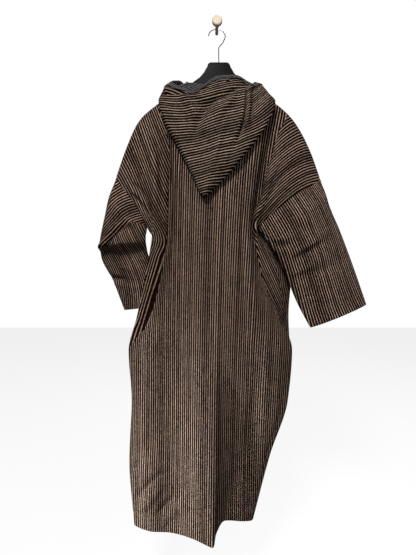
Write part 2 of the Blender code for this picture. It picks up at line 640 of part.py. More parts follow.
def hanger_outline():
    """The hanger's outline from the front: a flat head that flares into two sloping arms."""
    reach = HANGER_END
    side = []
    for step in range(5):
        angle = math.pi / 2.0 * step / 4.0
        corner = HANGER_HEAD_CORNER
        side.append((HANGER_HEAD_HALF - corner + corner * math.sin(angle),
                     HANGER_HEAD_TOP - corner + corner * math.cos(angle)))
    side += HANGER_FLARE
    for x in np.linspace(HANGER_ARM_START, reach, 8):
        side.append(under_shoulder(float(x), HANGER_BELOW_SEAM))
    end_z = side[-1][1]
    side += [(reach + 0.006, end_z - 0.008), (reach + 0.006, end_z - 0.018), (reach - 0.004, end_z - 0.024)]
    for x in np.linspace(0.160, 0.100, 3):
        side.append(under_shoulder(float(x), HANGER_ARM_HEIGHT))
    side += HANGER_LOWER
    shifts = [HANGER_HEAD_MIDDLE if x < HANGER_FLARE[2][0] else 0.0 for x, _ in side]
    right = [(x + shift, z) for (x, z), shift in zip(side, shifts)]
    left = [(-x + shift, z) for (x, z), shift in zip(side, shifts)]
    return right + left[::-1]


def make_hanger(collection, plastic):
    """The hanger's flat body."""
    curve = bpy.data.curves.new("hanger_body", "CURVE")
    curve.dimensions = "2D"
    curve.fill_mode = "BOTH"
    curve.extrude = HANGER_THICKNESS / 2.0
    outline = hanger_outline()
    spline = curve.splines.new("POLY")
    spline.points.add(len(outline) - 1)
    for point, (x, z) in zip(spline.points, outline):
        point.co = (x, z, 0.0, 1.0)
    spline.use_cyclic_u = True
    hanger = add_object("hanger_body", curve, collection, plastic)
    hanger.location = (0.0, HANGER_Y, 0.0)
    hanger.rotation_euler = (math.pi / 2.0, 0.0, 0.0)


def main():
    """Clear the scene and build the djellaba, the hanger and the peg."""
    for old in list(bpy.data.objects):
        bpy.data.objects.remove(old)
    collection = bpy.data.collections.new("djellaba_on_hanger")
    bpy.context.scene.collection.children.link(collection)
    wool = principled("striped_wool", (0.085, 0.055, 0.040), 0.95)
    plastic = principled("black_plastic", (0.016, 0.016, 0.018), 0.45)
    steel = principled("wire_steel", (0.55, 0.55, 0.55), 0.3, 1.0)
    wood = principled("pale_wood", (0.60, 0.46, 0.32), 0.6)
    make_back(collection, wool)
    make_front(collection, wool)
    make_sleeves(collection, wool)
    make_hood(collection, wool)
    make_peg(collection, wood)
    make_hook(collection, steel)
    make_hanger(collection, plastic)


main()
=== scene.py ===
"""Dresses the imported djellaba: striped wool, a black hanger, a plated hook and a pale wooden peg.

Metres, +Z up, +X to the right of someone facing the garment's back, +Y towards the wall. The cloth lies on the
form of its solids, with finer creases, and its stripes follow the cut.
"""

import logging
import math
from collections.abc import Callable, Iterable, Sequence
from dataclasses import dataclass
from enum import Enum

import bmesh
import bpy
import numpy as np
from bpy.types import ID, Material, Mesh, Node, NodeInputs, NodeOutputs, NodeSocket, NodeTree, Object
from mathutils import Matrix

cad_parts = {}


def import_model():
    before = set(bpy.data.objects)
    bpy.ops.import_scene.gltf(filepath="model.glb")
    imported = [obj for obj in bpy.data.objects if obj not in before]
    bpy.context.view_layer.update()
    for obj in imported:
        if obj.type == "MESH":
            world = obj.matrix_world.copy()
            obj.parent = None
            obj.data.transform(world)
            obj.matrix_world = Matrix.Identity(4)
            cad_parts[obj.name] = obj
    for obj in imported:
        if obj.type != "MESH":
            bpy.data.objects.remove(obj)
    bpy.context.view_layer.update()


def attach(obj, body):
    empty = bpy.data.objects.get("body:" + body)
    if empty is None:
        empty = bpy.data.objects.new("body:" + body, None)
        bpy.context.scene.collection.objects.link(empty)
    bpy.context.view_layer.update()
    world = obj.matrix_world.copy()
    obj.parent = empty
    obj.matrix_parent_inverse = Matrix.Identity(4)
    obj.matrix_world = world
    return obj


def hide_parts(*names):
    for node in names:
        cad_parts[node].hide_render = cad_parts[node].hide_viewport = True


LOG = logging.getLogger("djellaba")
MM = 0.001
WALL = 0.0022
PATTERN_MAP = "weave"
Pair = tuple[float, float]
Triple = tuple[float, float, float]
Table = tuple[tuple[float, ...], ...]
Surface = tuple[dict[str, object], NodeSocket, float]

# Threads of the cloth across the width of a panel, in metres from its middle, from the left side seam
THREADS = (-0.48, -0.38, -0.28, -0.215, -0.17, -0.095, -0.03, 0.03, 0.095, 0.17, 0.215, 0.28, 0.38, 0.48)
# Shares of the length at the rows of the drape's tables: shoulder, over, yoke, chest, arm, armpit, waist, hip, seat,
# thigh, calf, hem
LEVELS = (0.0, 0.010, 0.03, 0.15, 0.24, 0.30, 0.42, 0.54, 0.63, 0.75, 0.87, 1.0)

# The weave's relief and the distance from one weft yarn to the next, in metres
RIB_HEIGHT = 0.0009
YARN_HEIGHT = 0.00005
SPECK_HEIGHT = 0.00004
WEFT_PITCH = 0.0021


class Side(Enum):
    """The two sides of the garment, seen from its back."""

    LEFT = -1
    RIGHT = 1


class Face(Enum):
    """Which way a sheet of cloth faces in the grid that it is made from."""

    AS_MADE = "as made"
    TURNED = "turned"


def slopes(knots: np.ndarray, values: np.ndarray) -> np.ndarray:
    """Tangents of a curve that never overshoots the values that it passes through.

    Args:
        knots: places of the values, rising.
        values: one row of values for each knot.

    Returns:
        One row of tangents for each knot.
    """
    steps = np.diff(knots)
    rises = np.diff(values, axis=0) / steps[:, None]
    before, after = rises[:-1], rises[1:]
    level = before * after <= 0.0
    weight_a = (2.0 * steps[1:] + steps[:-1])[:, None]
    weight_b = (steps[1:] + 2.0 * steps[:-1])[:, None]
    mean = (weight_a + weight_b) / (weight_a / np.where(level, 1.0, before) + weight_b / np.where(level, 1.0, after))
    return np.concatenate([rises[:1], np.where(level, 0.0, mean), rises[-1:]])


def through(knots: Sequence[float], values: Sequence, at: Sequence[float]) -> np.ndarray:
    """Values of the smooth curve through the given ones.

    Args:
        knots: places of the values, rising.
        values: an array whose first axis goes with the knots.
        at: where the curve is read.

    Returns:
        The values there, the first axis going with at.
    """
    knots, values = np.asarray(knots, float), np.asarray(values, float)
    flat = values.reshape(len(knots), -1)
    tangent = slopes(knots, flat)
    at = np.clip(np.asarray(at, float), knots[0], knots[-1])
    left = np.clip(np.searchsorted(knots, at, side="right") - 1, 0, len(knots) - 2)
    step = (knots[left + 1] - knots[left])[:, None]
    x = (at - knots[left])[:, None] / step
    result = (
        (2 * x**3 - 3 * x**2 + 1) * flat[left]
        + (x**3 - 2 * x**2 + x) * step * tangent[left]
        + (3 * x**2 - 2 * x**3) * flat[left + 1]
        + (x**3 - x**2) * step * tangent[left + 1]
    )
    return result.reshape((len(at),) + values.shape[1:])


def chart(rows: Table | np.ndarray, across: Sequence[float], along: Sequence[float]) -> np.ndarray:
    """A table in mm, read as a smooth surface in metres.

    Args:
        rows: one row of values for each level, a value for each thread.
        across: threads to read at.
        along: shares of the length to read at.

    Returns:
        The values, rows along and columns across.
    """
    by_thread = through(THREADS, np.array(rows, float).T * MM, across).T
    return through(LEVELS, by_thread, along)


def mirrored(rows: Table) -> np.ndarray:
    """A table of one half, repeated for the other half."""
    return np.hstack([rows, np.fliplr(rows)])


def soft_step(values: np.ndarray | float, low: float, high: float) -> np.ndarray:
    """Nought below low, one above high, and a smooth rise between."""
    share = np.clip((np.asarray(values) - low) / (high - low), 0.0, 1.0)
    return share * share * (3.0 - 2.0 * share)


def fading(distances: np.ndarray | Sequence[float], reach: float) -> np.ndarray:
    """One at nought, falling away on both sides within about twice the reach."""
    return np.exp(-((np.asarray(distances) / reach) ** 2))


def quarter(steps: int) -> list[Pair]:
    """Sine and cosine of the angles from nought to a right angle, in equal steps."""
    return [(math.sin(angle), math.cos(angle)) for angle in np.linspace(0.0, math.pi / 2.0, steps + 1)]


@dataclass
class Grid:
    """A sheet of cloth before it is made: its points, rows along and columns across, and where each is read."""

    points: np.ndarray
    across: np.ndarray
    along: np.ndarray

    def normals(self) -> np.ndarray:
        """Unit normals, towards the side where the rows run down and the columns to the right."""
        normal = np.cross(np.gradient(self.points, axis=0), np.gradient(self.points, axis=1))
        return normal / np.maximum(np.linalg.norm(normal, axis=2, keepdims=True), 1e-9)

    def run(self, axis: int) -> np.ndarray:
        """Length along the cloth from the first row (axis 0) or column (axis 1) to each point."""
        steps = np.linalg.norm(np.diff(self.points, axis=axis), axis=2)
        return np.insert(np.cumsum(steps, axis=axis), 0, 0.0, axis=axis)

    def lift(self, heights: np.ndarray) -> None:
        """Move each point along its normal by its height."""
        self.points = self.points + self.normals() * heights[:, :, None]

    def face_middles(self) -> tuple[np.ndarray, np.ndarray]:
        """Where the middle of each face is read, across and along, shaped as the pattern is."""
        across, along = ((places[:-1] + places[1:]) / 2.0 for places in (self.across, self.along))
        return across[None, :, None, None], along[:, None, None, None]


@dataclass(frozen=True)
class Crease:
    """A soft ridge (positive height) or trough (negative) in the cloth.

    Start and end are (across, along) in the piece's own coordinates. Swell moves its deepest place from its
    middle, towards the start below one and towards the end above one. Taper widens it from start to end.
    """

    start: Pair
    end: Pair
    width: float
    height: float
    swell: float
    taper: float

    def heights(self, across: np.ndarray, along: np.ndarray, scale: Pair) -> np.ndarray:
        """Height of the crease at each point.

        Args:
            across: grid of across values.
            along: grid of along values.
            scale: metres for one unit across and one unit along.

        Returns:
            Heights in metres, in the grid's shape.
        """
        run = (np.array(self.end) - self.start) * scale
        dx, dy = (across - self.start[0]) * scale[0], (along - self.start[1]) * scale[1]
        share = (dx * run[0] + dy * run[1]) / run.dot(run)
        inside = np.clip(share, 0.0, 1.0)
        beside = np.hypot(dx - inside * run[0], dy - inside * run[1])
        profile = np.sin(np.pi * np.clip(share, 0.02, 0.98) ** self.swell) ** 0.5
        return self.height * profile * fading(beside, self.width * (1.0 + self.taper * (inside - 0.5)))


def creases_of(*rows: tuple[float, ...], taper: float = 0.5) -> tuple[Crease, ...]:
    """Creases from rows of numbers.

    Args:
        rows: across and along of the start, across and along of the end and the width, all in thousandths, the
            height in mm, and the swell where it isn't one.
        taper: how much wider each crease is at its end than at its start, as a share of its width.

    Returns:
        The creases.
    """
    made = []
    for row in rows:
        x, y, end_x, end_y, width, height = (value * MM for value in row[:6])
        made.append(Crease((x, y), (end_x, end_y), width, height, *(row[6:] or (1.0,)), taper))
    return tuple(made)


def crease_heights(
    across: Sequence[float], along: Sequence[float], creases: Iterable[Crease], scale: Pair = (1.0, 1.0)
) -> np.ndarray:
    """Sum of several creases on a grid.

    Args:
        across: across values of the columns.
        along: along values of the rows.
        creases: the creases.
        scale: metres for one unit across and one unit along.

    Returns:
        Heights in metres, rows along and columns across.
    """
    u, t = np.meshgrid(across, along)
    return sum((crease.heights(u, t, scale) for crease in creases), np.zeros_like(u))


@dataclass(frozen=True)
class PatternField:
    """Distance across the stripes over a part of the cloth, a low polynomial of where it lies.

    The terms are millimetres, for X, Z, X2, XZ, Z2, X3 and so on, X and Z running from -1 to 1 over the part.
    """

    middle: Pair
    reach: Pair
    terms: tuple[float, ...]
    period: float

    def value(self, x: np.ndarray, z: np.ndarray) -> np.ndarray:
        """The polynomial, in metres."""
        powers = ((order - k, k) for order in range(1, 5) for k in range(order + 1))
        return sum(term * MM * x**i * z**j for term, (i, j) in zip(self.terms, powers))

    def at(self, points: np.ndarray, period: float) -> np.ndarray:
        """The distance at each point, carried on straight outside the part.

        Args:
            points: places, their last axis x, y, z.
            period: stripe period of the finish, which the distances are stretched to.

        Returns:
            Distances in metres.
        """
        x = (points[..., 0] - self.middle[0]) / self.reach[0]
        z = (points[..., 2] - self.middle[1]) / self.reach[1]
        near_x, near_z, step = np.clip(x, -1.0, 1.0), np.clip(z, -1.0, 1.0), 1e-3
        base = self.value(near_x, near_z)
        by_x = (self.value(near_x + step, near_z) - base) / step
        by_z = (self.value(near_x, near_z + step) - base) / step
        return (base + by_x * (x - near_x) + by_z * (z - near_z)) * period / self.period


class NodeKit:
    """Adds nodes to a tree and links them with little writing."""

    def __init__(self, tree: NodeTree) -> None:
        """Keep the tree that the nodes go into."""
        self.tree = tree

    def add(self, kind: str, settings: dict | None = None, **inputs: object) -> Node:
        """Add a node.

        Args:
            kind: the node's type name.
            settings: properties of the node.
            inputs: values or sockets for its inputs.

        Returns:
            The node.
        """
        node = self.tree.nodes.new(kind)
        for name, value in (settings or {}).items():
            setattr(node, name, value)
        for name, value in inputs.items():
            self.feed(node.inputs[name], value)
        return node

    def feed(self, socket: NodeSocket, value: object) -> None:
        """Link a socket into an input, or set the input's value. A colour has three numbers.

        Args:
            socket: the input socket of a node.
            value: a socket, a number, or a colour's three numbers.
        """
        if isinstance(value, NodeSocket):
            self.tree.links.new(value, socket)
        else:
            socket.default_value = (*value, 1.0) if socket.type == "RGBA" else value

    def math(self, operation: str, *values: object) -> NodeSocket:
        """The result of a Math node on the given numbers or sockets.

        Args:
            operation: the Math node's operation.
            *values: its inputs, numbers or sockets.

        Returns:
            The node's result.
        """
        node = self.add("ShaderNodeMath", {"operation": operation})
        for socket, value in zip(node.inputs, values):
            self.feed(socket, value)
        return node.outputs[0]

    def times(self, first: object, second: object) -> NodeSocket:
        """A product."""
        return self.math("MULTIPLY", first, second)

    def weighted(self, start: float, *parts: tuple[object, float]) -> NodeSocket:
        """A number, plus each value times its weight.

        Args:
            start: the number that the sum starts from.
            *parts: pairs of a value and its weight.

        Returns:
            The sum's socket.
        """
        total = start
        for value, weight in parts:
            total = self.math("MULTIPLY_ADD", value, weight, total)
        return total

    def noise(self, vector: NodeSocket, scale: object, detail: float) -> NodeSocket:
        """The value of a Noise node."""
        return self.add("ShaderNodeTexNoise", Vector=vector, Scale=scale, Detail=detail).outputs[0]

    def grey(self, value: NodeSocket) -> NodeSocket:
        """A number as a grey colour."""
        return self.add("ShaderNodeCombineColor", Red=value, Green=value, Blue=value).outputs[0]

    def blend(self, factor: object, first: object, second: object, mode: str = "MIX") -> NodeSocket:
        """The result of a colour Mix node.

        Args:
            factor: share of the second colour.
            first: first colour or its socket.
            second: second colour or its socket.
            mode: the Mix node's blend type.

        Returns:
            The colour's socket.
        """
        node = self.add("ShaderNodeMix", {"data_type": "RGBA", "blend_type": mode})
        for index, value in ((0, factor), (6, first), (7, second)):
            self.feed(node.inputs[index], value)
        return node.outputs[2]

    def smooth(self, value: object, *ends: float) -> NodeSocket:
        """A value carried smoothly from one range, its first two ends, to another, or to 0 and 1.

        Args:
            value: the value's socket.
            *ends: both ends of its range, and of the new one if that isn't 0 and 1.

        Returns:
            The carried value's socket.
        """
        node = self.add("ShaderNodeMapRange", {"interpolation_type": "SMOOTHSTEP"})
        for socket, number in zip(node.inputs, (value, *ends)):
            self.feed(socket, number)
        return node.outputs[0]

    def place(self, group: NodeTree, **inputs: object) -> Node:
        """Add a shared group, with values or sockets for its inputs."""
        return self.add("ShaderNodeGroup", {"node_tree": group}, **inputs)


def shared_group(
    name: str, vector: str, numbers: Sequence[str], results: Sequence[str]
) -> tuple[NodeKit, NodeOutputs, NodeInputs]:
    """A new shader node group with its sockets.

    Args:
        name: the group's name.
        vector: name of its vector input.
        numbers: names of its number inputs.
        results: names of its outputs, all numbers.
    """
    tree = bpy.data.node_groups.new(name, "ShaderNodeTree")
    tree.interface.new_socket(vector, in_out="INPUT", socket_type="NodeSocketVector")
    for direction, sockets in (("INPUT", numbers), ("OUTPUT", results)):
        for socket in sockets:
            tree.interface.new_socket(socket, in_out=direction, socket_type="NodeSocketFloat")
    return NodeKit(tree), tree.nodes.new("NodeGroupInput").outputs, tree.nodes.new("NodeGroupOutput").inputs


def soft_grain_group() -> NodeTree:
    """Cloudy variation at two scales, for all finishes: a value about one, and a fine height.

    Returns:
        The node group, made once.
    """
    found = bpy.data.node_groups.get("soft_grain")
    if found:
        return found
    kit, into, out = shared_group("soft_grain", "Vector", ("Scale", "Amount"), ("Shade", "Height"))
    broad = kit.noise(into["Vector"], into["Scale"], 3.0)
    fine = kit.noise(into["Vector"], kit.times(into["Scale"], 14.0), 2.0)
    centred = kit.weighted(-0.5, (broad, 0.65), (fine, 0.35))
    kit.feed(out["Shade"], kit.math("MULTIPLY_ADD", centred, into["Amount"], 1.0))
    kit.feed(out["Height"], fine)
    return kit.tree


def striped_weave_group() -> NodeTree:
    """Ribs of light yarn between dark ones, along the cloth's warp: rib mask, rib shade, flecks and height.

    Returns:
        The node group, made once.
    """
    found = bpy.data.node_groups.get("striped_weave")
    if found:
        return found
    kit, into, out = shared_group(
        "striped_weave", "Pattern", ("Period", "Rib", "Wander"), ("Mask", "Shade", "Fleck", "Height")
    )
    one_way = {"noise_dimensions": "1D"}
    across, along, _ = kit.add("ShaderNodeSeparateXYZ", Vector=into["Pattern"]).outputs
    stretched = kit.add("ShaderNodeCombineXYZ", X=across, Y=kit.times(along, 0.45))
    drift = kit.weighted(-0.5, (kit.noise(stretched.outputs[0], 34.0, 2.0), 1.0))
    phase = kit.math("DIVIDE", kit.math("MULTIPLY_ADD", drift, into["Wander"], across), into["Period"])
    rib = kit.math("FLOOR", phase)
    own = kit.add("ShaderNodeTexWhiteNoise", one_way, W=rib).outputs[0]
    ridge = kit.weighted(0.5, (kit.math("COSINE", kit.times(phase, 2.0 * math.pi)), -0.5))
    over_edge = kit.weighted(-1.0, (ridge, 1.0), (into["Rib"], 1.0), (own, 0.10))
    along_rib = kit.add("ShaderNodeCombineXYZ", X=kit.times(rib, 0.37), Y=along).outputs[0]
    knots, lengths = kit.noise(along_rib, 150.0, 2.0), kit.noise(along_rib, 22.0, 1.0)
    family = kit.add("ShaderNodeTexNoise", one_way, W=kit.times(rib, 0.29), Scale=1.0, Detail=1.0).outputs[0]
    specks = kit.noise(into["Pattern"], 420.0, 2.0)
    weft = kit.math("SINE", kit.times(along, 2.0 * math.pi / WEFT_PITCH))
    results = {
        "Mask": kit.smooth(over_edge, -0.05, 0.11),
        "Shade": kit.weighted(-0.97, (knots, 2.0), (lengths, 0.80), (own, 0.40), (family, 0.70)),
        "Fleck": kit.smooth(specks, 0.62, 0.74),
        "Height": kit.weighted(
            0.0, (ridge, RIB_HEIGHT), (weft, YARN_HEIGHT), (knots, YARN_HEIGHT), (specks, SPECK_HEIGHT)
        ),
    }
    for name, socket in results.items():
        kit.feed(out[name], socket)
    return kit.tree


@dataclass(frozen=True)
class Finish:
    """What all finishes share: each makes one material from the surface that its own method gives."""

    name: str

    def surface(self, kit: NodeKit) -> Surface:
        """The shader's inputs, the height for its bump, and the bump's strength."""
        raise NotImplementedError

    def material(self) -> Material:
        """Build the material.

        Returns:
            The material, named after the finish.
        """
        made = bpy.data.materials.new(self.name)
        made.use_nodes = True
        kit = NodeKit(made.node_tree)
        inputs, height, strength = self.surface(kit)
        inputs["Normal"] = kit.add("ShaderNodeBump", Strength=strength, Distance=1.0, Height=height).outputs[0]
        for name, value in inputs.items():
            kit.feed(made.node_tree.nodes["Principled BSDF"].inputs[name], value)
        return made


@dataclass(frozen=True)
class WoolFinish(Finish):
    """Hand-woven wool: narrow ribs of light yarn on a dark ground, dry and a little hairy."""

    rib: Triple = (0.356, 0.252, 0.192)
    ground: Triple = (0.0078, 0.0028, 0.0019)
    fleck: Triple = (0.24, 0.19, 0.15)
    fleck_share: float = 0.35
    period: float = 0.0064
    rib_share: float = 0.16
    wander: float = 0.0012
    cloud_scale: float = 11.0
    cloud_amount: float = 0.55
    sheen: float = 0.008
    sheen_tint: Triple = (0.62, 0.50, 0.42)

    def surface(self, kit: NodeKit) -> Surface:
        """The wool, its ribs on the piece's own pattern map.


        Returns:
            The shader's inputs, the height for its bump, and the bump's strength.
        """
        pattern = kit.add("ShaderNodeUVMap", {"uv_map": PATTERN_MAP}).outputs[0]
        weave = kit.place(
            striped_weave_group(), Pattern=pattern, Period=self.period, Rib=self.rib_share, Wander=self.wander
        ).outputs
        place = kit.add("ShaderNodeTexCoord").outputs["Object"]
        cloud = kit.place(soft_grain_group(), Vector=place, Scale=self.cloud_scale, Amount=self.cloud_amount)
        rib = kit.blend(1.0, self.rib, kit.grey(kit.times(weave["Shade"], cloud.outputs["Shade"])), "MULTIPLY")
        colour = kit.blend(weave["Mask"], self.ground, rib)
        inputs = {
            "Base Color": kit.blend(kit.times(weave["Fleck"], self.fleck_share), colour, self.fleck),
            "Roughness": kit.smooth(weave["Mask"], 0.0, 1.0, 0.97, 0.86),
            "Specular IOR Level": 0.03,
            "Sheen Weight": self.sheen,
            "Sheen Roughness": 0.55,
            "Sheen Tint": self.sheen_tint,
        }
        return inputs, weave["Height"], 0.7


@dataclass(frozen=True)
class HardFinish(Finish):
    """A hard surface with a fine grain: moulded plastic or plated wire."""

    colour: Triple
    roughness: float
    metallic: float = 0.0
    grain_scale: float = 30.0
    grain_amount: float = 0.25
    relief: float = 0.00004
    specular: float = 0.5
    bump: float = 0.6

    def base(self, kit: NodeKit) -> tuple[NodeSocket, object]:
        """The coordinates that the grain lies on, and the colour under it."""
        return kit.add("ShaderNodeTexCoord").outputs["Object"], self.colour

    def surface(self, kit: NodeKit) -> Surface:
        """The surface, its grain on object coordinates.


        Returns:
            The shader's inputs, the height for its bump, and the bump's strength.
        """
        place, colour = self.base(kit)
        grain = kit.place(soft_grain_group(), Vector=place, Scale=self.grain_scale, Amount=self.grain_amount).outputs
        inputs = {
            "Base Color": kit.blend(1.0, colour, kit.grey(grain["Shade"]), "MULTIPLY"),
            "Roughness": kit.times(grain["Shade"], self.roughness),
            "Metallic": self.metallic,
            "Specular IOR Level": self.specular,
        }
        return inputs, kit.times(grain["Height"], self.relief), self.bump


@dataclass(frozen=True)
class WoodFinish(HardFinish):
    """Pale turned wood with fine growth lines along the peg."""

    colour: Triple = (0.80, 0.66, 0.50)
    roughness: float = 0.52
    grain_scale: float = 90.0
    grain_amount: float = 0.5
    relief: float = 0.00008
    bump: float = 0.5
    dark: Triple = (0.60, 0.45, 0.31)
    stretch: Triple = (1.0, 0.08, 1.0)
    line_scale: float = 160.0

    def base(self, kit: NodeKit) -> tuple[NodeSocket, object]:
        """The coordinates, drawn out along the peg, and the wood's colour with its darker lines.


        Returns:
            The coordinates and the colour.
        """
        place = kit.add("ShaderNodeTexCoord").outputs["Object"]
        long_way = kit.add("ShaderNodeMapping", Vector=place, Scale=self.stretch).outputs[0]
        lines = kit.add(
            "ShaderNodeTexWave", {"bands_direction": "X", "wave_profile": "SAW"},
            Vector=long_way, Scale=self.line_scale, Distortion=5.0, Detail=3.0,
        )
        return long_way, kit.blend(kit.smooth(lines.outputs[1], 0.55, 1.0, 0.0, 0.55), self.colour, self.dark)


@dataclass(frozen=True)
class Wool:
    """The materials of the woven cloth's two sides."""

    outer: Material
    inner: Material

    def walled(self, mesh: Mesh, wall: float = WALL) -> Object:
        """Cloth with its thickness, the reverse of the weave on its inner side.

        Args:
            mesh: the cloth, one layer of faces.
            wall: the thickness.

        Returns:
            The cloth, named as its mesh.
        """
        mesh.materials.append(self.outer)
        mesh.materials.append(self.inner)
        thing = linked(mesh.name, mesh)
        solidify = thing.modifiers.new("wall", "SOLIDIFY")
        solidify.thickness = wall
        solidify.offset = 0.0
        solidify.use_rim = True
        solidify.material_offset = 1
        return thing


def linked(name: str, data: ID) -> Object:
    """A new object in the scene.

    Args:
        name: the object's name.
        data: its mesh, curve or lamp.

    Returns:
        The object.
    """
    thing = bpy.data.objects.new(name, data)
    bpy.context.scene.collection.objects.link(thing)
    return thing


def dress(thing: Object, node: str | None = None) -> None:
    """Put a piece on the body, in the place of its solid.

    Args:
        thing: the piece.
        node: the solid that it replaces, if it does.
    """
    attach(thing, "root")
    if node:
        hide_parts(node)


def hang_sheet(thing: Object, node: str, flat: Pair, area: float, trims: Sequence[Object] = ()) -> None:
    """Dress a piece of cloth and the smaller pieces cut with it.

    Args:
        thing: the cloth.
        node: the solid that it replaces.
        flat: width and length of the cut cloth; not used.
        area: its area; not used.
        trims: smaller pieces cut with it, already made.
    """
    dress(thing, node)
    for trim in trims:
        dress(trim)


def smooth_mesh(name: str, bm: bmesh.types.BMesh, sharp: float | None = None) -> Mesh:
    """A mesh with smooth shading, made from a bmesh that is then freed.

    Args:
        name: the mesh's name.
        bm: the bmesh.
        sharp: degrees from which an edge is sharp, if any is.

    Returns:
        The mesh.
    """
    mesh = bpy.data.meshes.new(name)
    bm.to_mesh(mesh)
    bm.free()
    mesh.shade_smooth()
    if sharp is not None:
        mesh.set_sharp_from_angle(angle=math.radians(sharp))
    return mesh


def corners(across: np.ndarray, along: np.ndarray) -> np.ndarray:
    """Pattern coordinates of each face's corners, from a grid of them.

    Args:
        across: distance across the stripes at each point, rows along and columns across.
        along: distance along them.

    Returns:
        For each face, its corners in the order upper left, upper right, lower right, lower left.
    """
    pairs = np.stack([across, along], axis=2)
    return np.stack([pairs[:-1, :-1], pairs[:-1, 1:], pairs[1:, 1:], pairs[1:, :-1]], axis=2)


def cloth_mesh(name: str, points: np.ndarray, pattern: np.ndarray, face: Face, closed: bool = False) -> Mesh:
    """A sheet of cloth on a grid of points.

    Args:
        name: the mesh's name.
        points: places of the grid, rows along and columns across. A closed sheet repeats its first column.
        pattern: pattern coordinates of each face's corners, as corners gives them.
        face: whether the grid's faces are turned round.
        closed: whether the first and the last column are sewn together.

    Returns:
        The mesh, one layer of faces.
    """
    rows, columns = points.shape[:2]
    bm = bmesh.new()
    bmesh.ops.create_grid(bm, x_segments=columns - 1, y_segments=rows - 1, size=1.0)
    mesh = smooth_mesh(name, bm)
    flat = np.empty(len(mesh.vertices) * 3, np.float32)
    mesh.vertices.foreach_get("co", flat)
    x, y, _ = flat.reshape(-1, 3).T
    column = np.rint((x + 1.0) / 2.0 * (columns - 1)).astype(int)
    row = np.rint((1.0 - y) / 2.0 * (rows - 1)).astype(int)
    mesh.vertices.foreach_set("co", points[row, column].astype(np.float32).ravel())
    corner = np.empty(len(mesh.loops), np.int32)
    mesh.loops.foreach_get("vertex_index", corner)
    corner_row, corner_column = row[corner].reshape(-1, 4), column[corner].reshape(-1, 4)
    cell_row, cell_column = corner_row.min(axis=1, keepdims=True), corner_column.min(axis=1, keepdims=True)
    place = np.array([[0, 1], [3, 2]])[corner_row - cell_row, corner_column - cell_column]
    layer = mesh.uv_layers.new(name=PATTERN_MAP)
    layer.data.foreach_set("uv", pattern[cell_row, cell_column, place].astype(np.float32).ravel())
    bm = bmesh.new()
    bm.from_mesh(mesh)
    if closed:
        bmesh.ops.remove_doubles(bm, verts=[vert for vert in bm.verts if vert.is_boundary], dist=1e-5)
    if face is Face.TURNED:
        bmesh.ops.reverse_faces(bm, faces=bm.faces)
    bm.to_mesh(mesh)
    bm.free()
    mesh.shade_smooth()
    return mesh


